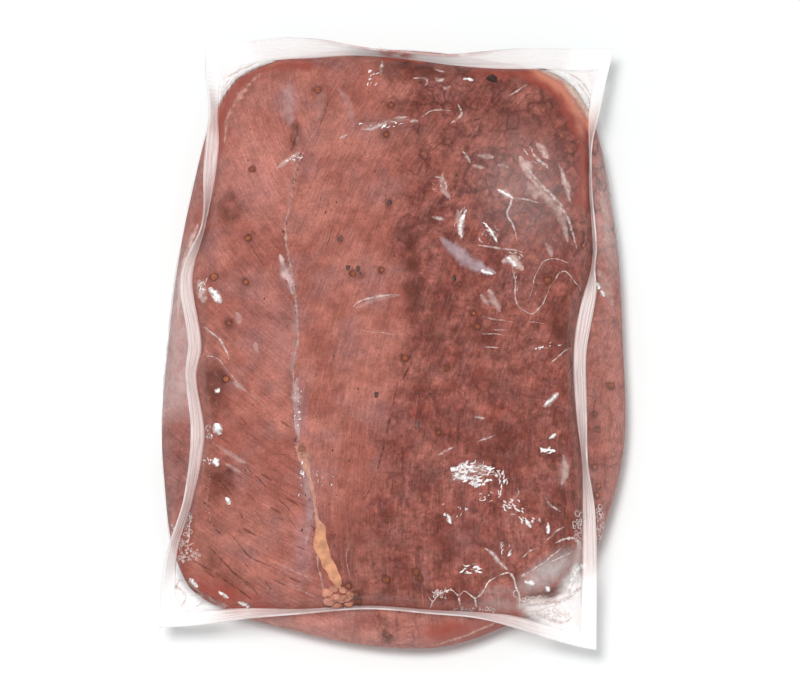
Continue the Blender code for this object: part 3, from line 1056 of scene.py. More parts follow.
def lay_strip(bm, surface, points, width, draw, ridge, ragged, above=0.06, step=STRIP_STEP):
    """A tapered strip with a ridge along its middle, laid on a surface. Lengths are in millimetres.

    Its attribute core is 1 along the middle and 0 at the edges."""
    line = spaced(points, step)
    count = len(line) - 1
    core = bm.verts.layers.float.get("core") or bm.verts.layers.float.new("core")
    verts = bmesh.ops.create_grid(bm, x_segments=2, y_segments=count, size=1.0)["verts"]
    run = np.gradient(line, axis=0)
    run /= np.maximum(np.hypot(run[:, 0], run[:, 1]), 1e-9)[:, None]
    seed = draw.uniform(0, 100)
    reach = [seed + k * step for k in range(count + 1)]
    uneven = [1 + RAGGED_GAIN * ragged * noise.noise(Vector((at / RAGGED_LENGTH, 0.0, 0.0))) for at in reach]
    aside = [WANDER * noise.noise(Vector((at / WANDER_LENGTH, 7.0, 0.0))) for at in reach]
    turns = [math.pi * (k + STRIP_END) / (count + 2 * STRIP_END) for k in range(count + 1)]
    widths = [width / 2 * math.sin(turn) ** TAPER_POWER * share for turn, share in zip(turns, uneven)]
    for v in verts:
        k, side = round((v.co.y + 1) / 2 * count), round(v.co.x)
        away = widths[k] * side + aside[k]
        x = (line[k][0] - run[k][1] * away) * MM
        y = (line[k][1] + run[k][0] * away) * MM
        top = height_on(surface, x, y)
        while top is None:
            x, y = x * STEP_INWARDS, y * STEP_INWARDS
            top = height_on(surface, x, y)
        v.co = x, y, top + (above if side else above + ridge) * MM
        v[core] = 0.0 if side else 1.0
    faces = {f for v in verts for f in v.link_faces}
    if sum(f.normal.z for f in faces) < 0:
        bmesh.ops.reverse_faces(bm, faces=list(faces))
    return verts


def show_over_clear(tree, cover, shader, clearness=1.0):
    """Ends a material with a shader that hides what lies behind it by its cover."""
    clear = put(tree, "ShaderNodeBsdfTransparent", {"Color": grey(clearness)}).outputs[0]
    show(tree, put(tree, "ShaderNodeMixShader", {0: cover, 1: clear, 2: shader}))


def strip_material(name, colour, cover, roughness, ragged_size=0.0015, broken=0.3):
    """A thin strip with soft ragged edges, which what lies under it shows through in places."""
    made, tree, places = uneven_material(name)
    patchy = lumps(tree, places, ragged_size, 3.0)
    tone = toned(tree, colour, patchy, 0.75, 1.2)
    solid = put(tree, "ShaderNodeBsdfPrincipled", {"Base Color": tone, "Roughness": roughness}).outputs[0]
    edge = maths(tree, "ADD", drawn_value(tree, "core"), times(tree, patchy, 1.1))
    gaps = ramp(tree, lumps(tree, places, 0.0026, 2.0), 0.38, 0.56, 1 - broken, 1.0)
    share = times(tree, ramp(tree, edge, 0.5, 1.5, 0.0, cover), gaps)
    show_over_clear(tree, share, solid)
    return made


def leaf_material(name, colour, roughness, size=0.0024):
    """A thin pale sheet with ragged edges. Its attribute cover says how much it hides."""
    made, tree, places = uneven_material(name)
    patchy = lumps(tree, places, size, 4.0)
    tone = toned(tree, colour, patchy, 0.9, 1.1)
    normal = bumped(tree, patchy, 0.2, 0.0006)
    keys = {"Base Color": tone, "Roughness": roughness, "Normal": normal}
    solid = put(tree, "ShaderNodeBsdfPrincipled", keys).outputs[0]
    edge = maths(tree, "ADD", drawn_value(tree, "core"), patchy)
    share = times(tree, ramp(tree, edge, 0.4, 1.3), ramp(tree, patchy, 0.3, 0.65, 0.65, 1.3))
    share = times(tree, share, drawn_value(tree, "cover"), clamp=True)
    show_over_clear(tree, share, solid)
    return made


def leaves_on(surface, name, leaves, material, draw):
    """A piece of thin sheets laid on a surface, from points, width, and how much each hides."""
    bm = bmesh.new()
    bm.verts.layers.float.new("core")
    bm.verts.layers.float.new("cover")
    for points, width, cover in leaves:
        verts = lay_strip(bm, surface, points, width, draw, ridge=0.12, ragged=0.15, above=0.04, step=0.5)
        layer = bm.verts.layers.float["cover"]
        for v in verts:
            v[layer] = cover
    return piece_from(bm, name, material)


SLIT_WIDER = 1.1
SEAM_STEP = 7
SEAM_PART = 10
SEAM_EVERY = 3
SEAM_WANDER = 0.3
SEAM_WIDTHS = (0.8, 1.7)

on_beef = surface_of(beef)
draw = random.Random(11)
bm = bmesh.new()
for points, width in SLIT_LINES:
    lay_strip(bm, on_beef, points, width * SLIT_WIDER, draw, ridge=0.02, ragged=0.5)
finish = strip_material("parted_fibres", SLIT_COLOUR, cover=0.60, roughness=0.5, broken=0.75)
piece_from(bm, "grain_slits", finish)
bm = bmesh.new()
for points, width in SINEW_LINES:
    lay_strip(bm, on_beef, points, width, draw, ridge=0.05, ragged=0.5)
seam_line = smoothed(SEAM)
for start in range(0, len(seam_line) - SEAM_PART + 1, SEAM_STEP):
    places = seam_line[start : start + SEAM_PART : SEAM_EVERY]
    part = [(x + draw.uniform(-SEAM_WANDER, SEAM_WANDER), y) for x, y in places]
    thinner = UPPER_SINEW_SHARE if part[0][1] > CLOSED_SEAM_FROM else 1.0
    lay_strip(bm, on_beef, part, thinner * draw.uniform(*SEAM_WIDTHS), draw, ridge=0.04, ragged=0.5)
finish = strip_material("white_sinew", SINEW_COLOUR, cover=0.72, roughness=0.35)
piece_from(bm, "sinew", finish)
bm = bmesh.new()
for points, width in RIM_STREAKS:
    lay_strip(bm, on_beef, points, width, draw, ridge=0.2, ragged=0.5)
finish = strip_material("thin_fat", RIM_FAT_COLOUR, cover=0.7, roughness=0.35, ragged_size=0.0022)
piece_from(bm, "rim_fat", finish)
SKIN_PATCHES = (
    (((-45.4, 31), (-42.6, 23), (-39.9, 15)), 5, 0.7),
    (((-38.4, -19), (-38.8, -30), (-37.4, -43)), 5, 0.5),
    (((-36.5, -50), (-33.8, -62), (-33, -74), (-34.4, -86)), 4, 0.28),
    (((-42.4, 102), (-42.4, 94), (-42, 84)), 7, 0.24),
    (((-38.9, 14), (-39.4, -6), (-40.4, -18)), 4.4, 0.22),
    (((-40, 84), (-38.4, 76), (-40.6, 62), (-42.6, 48)), 3, 0.12),
    (((-31, 103), (-29, 94), (-31, 86)), 4, 0.15),
    (((-22, 100), (-18, 93), (-16, 84)), 4, 0.16),
)
SKIN_COLOUR = (0.70, 0.47, 0.455, 1.0)
PIT_COLOUR = (0.16, 0.060, 0.055, 1.0)
PIT_COUNT = 46
PIT_LENGTHS = (0.5, 1.8)
PIT_WIDTHS = (0.6, 1.3)
PITS_ASIDE = 0.7
PITS_ALONG = 2.0
# points of the seam that have no pits, at its top and at its foot
PITS_AFTER, PITS_BEFORE = 8, 4
finish = leaf_material("silver_skin", SKIN_COLOUR, roughness=0.35, size=0.004)
leaves_on(on_beef, "seam_skin", SKIN_PATCHES, finish, draw)
bm = bmesh.new()
for _ in range(PIT_COUNT):
    spot = seam_line[draw.randrange(PITS_AFTER, len(seam_line) - PITS_BEFORE)]
    x = spot[0] + draw.gauss(0.0, PITS_ASIDE)
    y = spot[1] + draw.uniform(-PITS_ALONG, PITS_ALONG)
    length = draw.uniform(*PIT_LENGTHS)
    ends = ((x, y), (x + draw.uniform(-SEAM_WANDER, SEAM_WANDER), y - length))
    lay_strip(bm, on_beef, ends, draw.uniform(*PIT_WIDTHS), draw, ridge=0.02, ragged=0.5)
finish = strip_material("seam_pit", PIT_COLOUR, cover=0.75, roughness=0.4)
piece_from(bm, "seam_pits", finish)

# The fat.
# A strip of firm yellow fat fills the foot of the seam, and small lumps of it lie at its lower end.

# places along the strip of fat in millimetres, and its left and right edges there
FAT_EDGES = (
    (-46.5, -39, -36),
    (-52.3, -37.2, -33.4),
    (-58.5, -34, -32.2),
    (-66, -32.3, -30.6),
    (-74.5, -31, -29.6),
    (-78.5, -30.4, -26.6),
    (-86, -31.2, -25.8),
    (-93, -28.2, -22.8),
    (-99.7, -24.6, -20.2),
    (-102.5, -22.6, -20.6),
)
FAT_LUMPS = (
    (-26, -103.6, 2.4, 2.1),
    (-23.4, -102.4, 1.9, 1.7),
    (-22.6, -105.4, 2.8, 2.4),
    (-25.4, -106.6, 2.5, 2.1),
    (-19.6, -105.6, 2.6, 2.3),
    (-21.9, -107.8, 2.6, 1.8),
    (-18, -107.4, 2.3, 1.8),
    (-16.9, -104.4, 1.8, 2),
    (-19.8, -102.9, 1.7, 1.6),
    (-34.6, -50.2, 2.2, 1.5),
    (-36.4, -47.6, 1.9, 1.6),
)
FAT_COLOUR = (0.65, 0.300, 0.168, 1.0)
THIN_FAT_COLOUR = (0.56, 0.275, 0.200, 1.0)
FAT_LUMP_COLOUR = (0.60, 0.265, 0.180, 1.0)
FAT_STAIN = (0.20, 0.062, 0.035, 1.0)
FAT_SPECK = (0.42, 0.16, 0.09, 1.0)
FAT_LUMP_DEPTH = 0.5 * MM
FAT_LUMP_HALF_HEIGHT = 1.4 * MM
FAT_CROWN = 0.35
FAT_EDGE_DROP = 0.08
FAT_COLUMNS = 8
FAT_ROWS = 62
FAT_WAVE = 0.8
FAT_WAVES = 16.0
FAT_WAVES_ACROSS = 0.8
FAT_STEP = 0.9
# where the firm fat turns thin and pale: between these places along the pouch in metres, give or take
THIN_FAT_END = -0.077
THIN_FAT_START = -0.071
THIN_FAT_WANDER = 0.006


def fat_material(name, colour, stained):
    made, tree, places = uneven_material(name)
    height = put(tree, "ShaderNodeSeparateXYZ", {0: places}).outputs[1]
    cloud = lumps(tree, places, 0.004, 5.0, 0.6)
    wandering = maths(tree, "ADD", height, times(tree, cloud, THIN_FAT_WANDER))
    thin = ramp(tree, wandering, THIN_FAT_END, THIN_FAT_START)
    tone = mixed(tree, thin, colour, THIN_FAT_COLOUR)
    tone = toned(tree, tone, cloud, 0.70, 1.18)
    brown = ramp(tree, lumps(tree, places, 0.0045, 3.0), 0.5, 0.64, 0.0, stained)
    tone = mixed(tree, brown, tone, FAT_STAIN)
    specks = ramp(tree, lumps(tree, places, 0.0009, 1.0), 0.66, 0.75, 0.0, 0.4)
    tone = mixed(tree, specks, tone, FAT_SPECK)
    normal = bumped(tree, cloud, 0.5, 0.0006)
    keys = {"Base Color": tone, "Roughness": 0.42, "Normal": normal}
    show(tree, put(tree, "ShaderNodeBsdfPrincipled", keys))
    return made


def ball(sides):
    """A round body of radius 1 that lumps are shaped from."""
    made = bpy.data.meshes.new("ball")
    bm = bmesh.new()
    bmesh.ops.create_uvsphere(bm, u_segments=sides, v_segments=sides // 2 + 1, radius=1.0)
    bm.to_mesh(made)
    bm.free()
    return made


SMALL_BALL, LARGE_BALL = ball(10), ball(22)
LUMP_UNEVENNESS = 1.3


def lay_lump(bm, x, y, z, half_x, half_y, half_z, draw, ragged, shape=SMALL_BALL):
    """A rounded, slightly uneven body about a place. Lengths are in metres."""
    bm.from_mesh(shape)
    shift = Vector((draw.uniform(0, 50), draw.uniform(0, 50), 0.0))
    for v in list(bm.verts)[-len(shape.vertices) :]:
        swell = 1 + ragged * noise.noise(v.co * LUMP_UNEVENNESS + shift)
        v.co = x + v.co.x * half_x * swell, y + v.co.y * half_y * swell, z + v.co.z * half_z * swell


def fat_strip():
    left = spaced([(x, y) for y, x, _ in FAT_EDGES], FAT_STEP)
    right = spaced([(x, y) for y, _, x in FAT_EDGES], FAT_STEP)
    bm = bmesh.new()
    verts = bmesh.ops.create_grid(bm, x_segments=FAT_COLUMNS, y_segments=FAT_ROWS, size=1.0)["verts"]
    for v in verts:
        share = 1 - (v.co.y + 1) / 2
        row_left = [np.interp(share, np.linspace(0, 1, len(left)), left[:, k]) for k in (0, 1)]
        row_right = [np.interp(share, np.linspace(0, 1, len(right)), right[:, k]) for k in (0, 1)]
        side = v.co.x
        wave = FAT_WAVE * noise.noise(Vector((share * FAT_WAVES, side * FAT_WAVES_ACROSS, 3.0)))
        x = between(row_left[0], row_right[0], (side + 1) / 2) + wave
        y = between(row_left[1], row_right[1], (side + 1) / 2)
        top = height_on(on_beef, x * MM, y * MM)
        v.co = x * MM, y * MM, top + (FAT_CROWN * (1 - side**4) - FAT_EDGE_DROP) * MM
    facing(bm, True)
    return piece_from(bm, "seam_fat", fat_material("firm_fat", FAT_COLOUR, stained=0.0))


fat_strip()
bm = bmesh.new()
for x, y, half_x, half_y in FAT_LUMPS:
    z = height_on(on_beef, x * MM, y * MM) - FAT_LUMP_DEPTH
    half_sizes = half_x * MM, half_y * MM, FAT_LUMP_HALF_HEIGHT
    lay_lump(bm, x * MM, y * MM, z, *half_sizes, draw, ragged=0.3, shape=LARGE_BALL)
piece_from(bm, "fat_lumps", fat_material("soft_fat", FAT_LUMP_COLOUR, stained=0.75))

# The spices.
# Mustard seeds from the marinade lie pressed between film and meat, each with a dark wet ring about it.
# There are a peppercorn, and small grey and brown flecks.
SEEDS = (
    (-30.5, 99.2),
    (-1.1, 93),
    (-56.8, 66.3),
    (-3.1, 80.4),
    (-58.1, 37.9),
    (-71.4, 22.3),
    (-58.7, 19.8),
    (-16.2, 23.1),
    (-4.7, 24.3),
    (-65.2, 3.2),
    (-66.2, -19.5),
    (26.3, 18.6),
    (61.3, 20.7),
    (75.8, 35.8),
    (31.8, 6.8),
    (33, 1.5),
    (4.5, -11),
    (21.1, -15.4),
    (17.8, -41.1),
    (8.7, -96.2),
    (10.3, -98.9),
    (-3, -99.3),
    (-17.6, -101.6),
    (-14.8, -104.6),
    (-13.6, -106.8),
    (79.8, -52.3),
    (80.9, -60.3),
    (80.6, -63.6),
    (81.2, -37.1),
    (87, -18.7),
    (80.1, -31.1),
    (-2.5, -119.2),
)
SEED_RADIUS = 1.3
SEED_SIZES = (0.62, 1.1)
SEED_SHARES = (0.85, 1.0)
SEED_HALF_HEIGHT = 0.38
SEED_COLOUR = (0.29, 0.082, 0.034, 1.0)
RING_COLOUR = (0.150, 0.042, 0.026, 1.0)
RING_WIDTHS = (1.6, 3.0)
RING_WIDER = 1.05
STAINED_RADIUS = 2.4
SEED_STAIN = 0.5
STAIN_RAGGED, STAIN_RAGGED_SIZE = 0.5, 2.2 * MM
PEPPERCORN = (39.8, 104.2)
PEPPERCORN_RADIUS = 2.6
PEPPERCORN_HALF_Y = 1.9
PEPPERCORN_HALF_Z = 1.5
PEPPERCORN_SINK = 0.6
PEPPER_WRINKLE = 0.2 * MM
PEPPER_WRINKLE_SIZE = 0.8 * MM
PEPPER_COLOUR = (0.035, 0.016, 0.012, 1.0)
FLECK_COLOUR = (0.13, 0.062, 0.055, 1.0)
FLECK_HALF_SIZE = (0.9, 1.3, 0.22)
SMALL_FLECK_COUNT = 130
FLECKS_ACROSS, FLECKS_ALONG = (-68, 76), (-104, 104)
SMALL_FLECK_SIZES = (0.22, 0.6)
SMALL_FLECK_NARROWER = 0.6
SMALL_FLECK_HALF_Z = 0.14
FRONT_LEAST_HEIGHT = 50 * MM
CIRCLE_POINTS = 10
GREY_FLECKS = (
    (-21.4, 37),
    (-1.9, 52),
    (9.2, -38),
    (-14.2, 25),
    (-18, 25.6),
    (-6.8, -26),
    (24, 21),
)


def grainy_material(name, colour, roughness, size):
    made, tree, places = uneven_material(name)
    cloud = lumps(tree, places, size, 3.0)
    tone = toned(tree, toned(tree, colour, cloud, 0.7, 1.3), lumps(tree, places, 0.014), 0.65, 1.3)
    keys = {"Base Color": tone, "Roughness": roughness, "Normal": bumped(tree, cloud, 0.5, 0.0003)}
    show(tree, put(tree, "ShaderNodeBsdfPrincipled", keys))
    return made


def circle_about(x, y, half_x, half_y):
    """Points round an oval, a little past its start."""
    turns = [k * math.tau / CIRCLE_POINTS for k in range(CIRCLE_POINTS + 2)]
    return [(x + half_x * math.cos(turn), y + half_y * math.sin(turn)) for turn in turns]


def spot_in(mid_x, mid_y, half_x, half_y, draw):
    """A random place in an oval, as evenly spread as its area."""
    turn, reach = draw.uniform(0, math.tau), math.sqrt(draw.uniform(0, 1))
    return mid_x + half_x * reach * math.cos(turn), mid_y + half_y * reach * math.sin(turn)


draw = random.Random(5)
bm = bmesh.new()
rings = bmesh.new()
for x, y in SEEDS:
    z = height_on(on_beef, x * MM, y * MM)
    radius = SEED_RADIUS * draw.uniform(*SEED_SIZES) * MM
    half_y = radius * draw.uniform(*SEED_SHARES)
    lay_lump(bm, x * MM, y * MM, z, radius, half_y, SEED_HALF_HEIGHT * MM, draw, ragged=0.15)
    circle = circle_about(x, y, RING_WIDER * radius / MM, radius / MM)
    width = draw.uniform(*RING_WIDTHS)
    lay_strip(rings, on_beef, circle, width, draw, ridge=0.1, ragged=0.7, above=0.12, step=0.4)
finish = grainy_material("mustard_seed", SEED_COLOUR, roughness=0.4, size=0.0012)
piece_from(bm, "mustard_seeds", finish)
finish = strip_material("dark_juice", RING_COLOUR, cover=0.5, roughness=0.4, ragged_size=0.003, broken=0.6)
piece_from(rings, "seed_rings", finish)
held = np.empty(len(beef.data.vertices), np.float32)
stain = beef.data.attributes["stain"]
stain.data.foreach_get("value", held)
places = vertex_places(beef.data)
halos = [(x, y, STAINED_RADIUS, STAINED_RADIUS, SEED_STAIN) for x, y in SEEDS]
ragged = STAIN_RAGGED * noise_at(places, STAIN_RAGGED_SIZE, seed=21.0)
soaked = patch_strength(places[:, 0], places[:, 1], halos, ragged)
stain.data.foreach_set("value", np.maximum(held, soaked.astype(np.float32)))
bm = bmesh.new()
x, y = PEPPERCORN
z = height_on(on_beef, x * MM, y * MM)
half_sizes = [size * MM for size in (PEPPERCORN_RADIUS, PEPPERCORN_HALF_Y, PEPPERCORN_HALF_Z)]
lay_lump(bm, x * MM, y * MM, z - PEPPERCORN_SINK * MM, *half_sizes, draw, ragged=0.35, shape=LARGE_BALL)
for v in bm.verts:
    outward = Vector((v.co.x - x * MM, v.co.y - y * MM, 0.0)).normalized()
    v.co += outward * PEPPER_WRINKLE * noise.noise(v.co / PEPPER_WRINKLE_SIZE)
finish = grainy_material("black_pepper", PEPPER_COLOUR, roughness=0.5, size=0.0008)
piece_from(bm, "peppercorn", finish)
bm = bmesh.new()
for x, y in GREY_FLECKS:
    z = height_on(on_beef, x * MM, y * MM)
    lay_lump(bm, x * MM, y * MM, z, *[size * MM for size in FLECK_HALF_SIZE], draw, ragged=0.9)
for _ in range(SMALL_FLECK_COUNT):
    x, y = draw.uniform(*FLECKS_ACROSS), draw.uniform(*FLECKS_ALONG)
    z = height_on(on_beef, x * MM, y * MM)
    size = draw.uniform(*SMALL_FLECK_SIZES) * MM
    if z and z > FRONT_LEAST_HEIGHT:
        half_sizes = size * SMALL_FLECK_NARROWER, size, SMALL_FLECK_HALF_Z * MM
        lay_lump(bm, x * MM, y * MM, z, *half_sizes, draw, ragged=0.9)
finish = grainy_material("ground_spice", FLECK_COLOUR, roughness=0.5, size=0.002)
piece_from(bm, "spice_flecks", finish)

# The back film.
# The lower sheet of thin clear plastic is drawn round the roast. It is a little cloudy where it bridges
# hollows in the meat, and creased where the full pouch draws its sides in.
BACK_ACROSS = 100
BACK_ALONG = 140
BACK_SIDE_RINGS = 14
BACK_FOOT_RINGS = 8
BACK_RIDGE = 0.6 * MM
BACK_RIDGE_SIZE = 16 * MM
BACK_RIDGE_STRETCH = (1.0, 1.0, 2.2)
BACK_RIDGE_MEAN = 0.4
# ridges in crumpled film: how far their meshes drift, how wide the drift is, and how sharp they are
RIDGE_DRIFT, RIDGE_DRIFT_SIZE, RIDGE_SHARPNESS = 0.5, 1.7, 2.2
BACK_SLACK = 0.4
BACK_HAZE = 0.01
BACK_RIDGE_HAZE = 0.04
BACK_HAZE_SIZE = 13 * MM
# stretches where the back film lies against the floor, and where it meets the seal
OFF_FLOOR_FROM_Z = (0, 6)
BELOW_SEAL_FROM_Z = (39, -4)
# hazy places of the back film: how hazy, the stretch across, and the two that it lies between along
SIDE_HAZES = (
    (0.26, (-72, -12), (-36, 10), (44, -20)),
    (0.20, (78, 8), (20, 20), (90, -20)),
)
BACK_VEIL = (0.88, 0.80, 0.80, 1.0)
FILM_COLOUR = (0.985, 0.98, 0.98, 1.0)
MIRROR_LIMIT = 0.03
MIRROR_LOSS = 0.03


def crumple_group():
    """A node group: the fine unevenness of thin film, from its Object coordinates."""
    tree = bpy.data.node_groups.new("film_crumple", "ShaderNodeTree")
    tree.interface.new_socket("Places", in_out="INPUT", socket_type="NodeSocketVector")
    tree.interface.new_socket("Size", in_out="INPUT", socket_type="NodeSocketFloat").default_value = 0.002
    tree.interface.new_socket("Height", in_out="OUTPUT", socket_type="NodeSocketFloat")
    given = tree.nodes.new("NodeGroupInput").outputs
    scale = maths(tree, "DIVIDE", 1.0, given["Size"])
    keys = {"Vector": given["Places"], "Scale": scale, "Detail": 3.0, "Distortion": 0.6}
    cloud = put(tree, "ShaderNodeTexNoise", keys).outputs["Fac"]
    fold = maths(tree, "ABSOLUTE", maths(tree, "SUBTRACT", cloud, 0.5))
    tree.links.new(fold, tree.nodes.new("NodeGroupOutput").inputs[0])
    return tree


CRUMPLE = crumple_group()


def crumple(tree, places, size):
    return put(tree, "ShaderNodeGroup", {"Places": places, "Size": size}, node_tree=CRUMPLE).outputs[0]


def film_material(name, veil_colour, tight_bump, slack_bump, evenness):
    """Clear glossy film. Its attributes say where it is slack and where it is hazy."""
    made, tree, places = uneven_material(name)
    slack = drawn_value(tree, "slack")
    relief = ramp(tree, slack, 0.1, 0.8, tight_bump, slack_bump)
    height = times(tree, crumple(tree, places, 0.0022), relief)
    normal = bumped(tree, height, 1.0, 0.001)
    mirror = put(tree, "ShaderNodeFresnel", {"IOR": 1.5, "Normal": normal}).outputs[0]
    mirror = maths(tree, "MINIMUM", maths(tree, "SUBTRACT", mirror, MIRROR_LOSS), MIRROR_LIMIT)
    clear = put(tree, "ShaderNodeBsdfTransparent", {"Color": FILM_COLOUR})
    gloss = put(tree, "ShaderNodeBsdfGlossy", {"Color": grey(1.0), "Roughness": 0.09, "Normal": normal})
    glossy = put(tree, "ShaderNodeMixShader", {0: mirror, 1: clear.outputs[0], 2: gloss.outputs[0]})
    up = put(tree, "ShaderNodeCombineXYZ", {2: 1.0}).outputs[0]
    veil_normal = mixed_vectors(tree, evenness, normal, up)
    keys = {"Base Color": veil_colour, "Roughness": 0.3, "Specular IOR Level": 0.2, "Normal": veil_normal}
    veil = put(tree, "ShaderNodeBsdfPrincipled", keys)
    hazy = drawn_value(tree, "haze")
    cloud = times(tree, lumps(tree, places, 0.004, 5.0, 0.62), 1.1)
    haze = times(tree, hazy, ramp(tree, cloud, 0.3, 0.75, 0.75, 1.2), clamp=True)
    show(tree, put(tree, "ShaderNodeMixShader", {0: haze, 1: glossy.outputs[0], 2: veil.outputs[0]}))
    return made


def seal_below(a, b):
    return band_point(a, b, False, -1)


def film_foot(a, b):
    edge = max(abs(a), abs(b))
    if edge == 0.0:
        return 0.0, 0.0, 0.0
    x, y, _ = foot_ring(1.0, 1.0, 0.0)(a / edge, b / edge)
    return x * edge, y * edge, 0.0


def ridges(points, size, seed):
    """Sharp meeting ridges from 0 to 1, like those of crumpled film."""
    drift = np.stack([noise_at(points, size * RIDGE_DRIFT_SIZE, seed + k) for k in (3.0, 5.0, 7.0)], 1)
    away = np.abs(noise_at(points + drift * size * RIDGE_DRIFT, size, seed))
    return (1 - away * RIDGE_SHARPNESS).clip(0.0, 1.0) ** 2


def back_film():
    rings = [
        *[foot_ring(1 - share, 1.0, 0.0) for share in steps(BACK_FOOT_RINGS)],
        *[side_ring(1 - share, seal_below, 1.0) for share in steps(BACK_SIDE_RINGS)],
    ]
    bm, _ = drawn_skin(BACK_ACROSS, BACK_ALONG, film_foot, rings)
    facing(bm, False)
    places = np.array([v.co[:] for v in bm.verts])
    lifted = past(places[:, 2], OFF_FLOOR_FROM_Z) * past(places[:, 2], BELOW_SEAL_FROM_Z)
    ridge = ridges(places * BACK_RIDGE_STRETCH, BACK_RIDGE_SIZE, 3.0) - BACK_RIDGE_MEAN
    push = lifted * BACK_RIDGE * ridge
    for v, amount in zip(bm.verts, push):
        v.co += v.normal * float(amount)
    finish = film_material("clear_back_film", BACK_VEIL, tight_bump=0.15, slack_bump=0.5, evenness=0.0)
    piece = piece_from(bm, "back_film", finish)
    x, y, _ = places.T
    hazy = BACK_HAZE + BACK_RIDGE_HAZE * ridges(places, BACK_HAZE_SIZE, seed=5.0)
    for amount, outwards, upwards, downwards in SIDE_HAZES:
        hazy = hazy + amount * past(x, outwards) * past(y, upwards) * past(y, downwards)
    write_attribute(piece.data, "slack", np.full(len(x), BACK_SLACK))
    write_attribute(piece.data, "haze", hazy)
    return piece


back = back_film()
back.visible_shadow = False

# The front film.
# The upper sheet is drawn flat on the meat by the vacuum, and runs down from its rim to the seal. Where
# juice or air is left under it, it is slack, cloudy, and lies in small sharp creases.
FILM_ACROSS = 140
FILM_ALONG = 200
FILM_SHOULDER_RINGS = 12
# slack places: x, y, half width and half length in millimetres, and how slack
SLACK = (
    (30, -57.5, 9, 6, 1),
    (41.5, -63, 4, 5, 0.8),
    (45, -72, 5, 4, 0.8),
    (52, -75.5, 5, 4, 0.8),
    (30, -95, 5, 3, 0.8),
    (59.5, -49, 4, 4, 0.6),
    (44, -88, 4, 3, 0.5),
    (28, 44, 6, 6, 0.6),
    (38, 40, 5, 6, 0.6),
    (47, 28, 5, 4, 0.7),
    (45, 55.5, 5, 3, 0.7),
    (18, 60, 4, 5, 0.5),
    (58, 72, 5, 5, 0.6),
    (37, 23.5, 5, 3, 0.7),
    (-70.5, 14, 4, 6, 0.8),
    (-70, -24, 3, 3, 0.8),
    (-70, -40, 4, 4, 0.9),
    (-70, -53, 4, 3, 0.9),
    (-65, -68.5, 2.5, 2.5, 0.8),
    (-44, 69, 4, 3, 0.6),
    (-8, 84, 8, 3, 0.5),
    (14, 102, 10, 3, 0.6),
    (77, 98, 4, 4, 1),
    (80, 80, 3, 8, 0.5),
    (66, -100, 12, 12, 0.6),
    (-74, -100, 10, 10, 0.5),
)
# cloudy places, where the film stands off the meat, and over the corners whiter places of painted light that
# cover the shade beneath the film: the same, then the turn in degrees
CLOUDS_AND_PAINTED_LIGHT = (
    (61, -95.5, 13.5, 4.6, 0.34, 34),
    (54, 57, 19, 24, 0.09, 25),
    (70.8, -98, 2.2, 7, 0.95, -8),
    (75, -104, 3, 10, 0.92, 0),
    (58, -111, 9, 3, 0.80, -14),
    (73.5, -88, 3, 6, 0.30, -20),
    (72, -101, 6, 7, 0.88, -40),
    (72, -109, 8, 6, 0.92, 0),
    (81, 104.5, 5, 6, 0.92, -40),
    (59, -108.6, 9, 3, 0.75, 0),
    (42, -108.5, 9, 3.2, 0.14, 0),
    (66.8, -56, 2, 5.5, 0.10, -10),
)
# the haze over the empty corners, partly painted light that whitens them over the shade beneath, and how far
# below them it starts for the height that it lies at
CORNER_HAZE_AND_LIGHT = 0.94
CORNER_HAZE_SHIFT = 1.9 * MM
CORNER_HAZE_RUN = 1.6
CORNER_SLACK = 0.2
EARS_FROM_Z = (47, -9)
BELOW_FRONT_FROM_Z = (52, -5)
ABOVE_SEAL_FROM_Z = (40, 3)
# heights of the ridges, and how wide their meshes are: where slack, finer there, on the shoulder, and the
# soft waves all over
SLACK_RIDGE, SLACK_RIDGE_SIZE = 0.55 * MM, 5 * MM
FINE_RIDGE, FINE_RIDGE_SIZE = 0.30 * MM, 2.4 * MM
SHOULDER_RIDGE, SHOULDER_RIDGE_SIZE = 0.35 * MM, 8 * MM
SHOULDER_RIDGE_MEAN = 0.3
FILM_WAVE, FILM_WAVE_SIZE = 0.04 * MM, 6 * MM
# bumps over what lies under the film: their height, and how wide they are
SEED_BUMP, SEED_BUMP_WIDTH = 0.3 * MM, 1.9 * MM
FAT_BUMP, FAT_BUMP_SHARE = 0.9 * MM, 1.2
FINE_FROM = 0.12
FRONT_VEIL = (0.98, 0.94, 0.93, 1.0)


def seal_above(a, b):
    return band_point(a, b, False, 1)


def film_front(a, b):
    x, y, edge = front_place(a, b)
    return x, y, float(front_height(x, y, edge))


def oval_strength(x, y, ovals):
    """How strong oval places, given in millimetres, are at each point. The last value may turn them."""
    strength = np.zeros(len(x))
    for mid_x, mid_y, half_x, half_y, amount, *turned in ovals:
        turn = math.radians(turned[0]) if turned else 0.0
        away_x, away_y = x / MM - mid_x, y / MM - mid_y
        across = away_x * math.cos(turn) + away_y * math.sin(turn)
        along = away_y * math.cos(turn) - away_x * math.sin(turn)
        reach = (across / half_x) ** 2 + (along / half_y) ** 2
        strength = np.maximum(strength, amount * np.exp(-(reach**1.5)))
    return strength


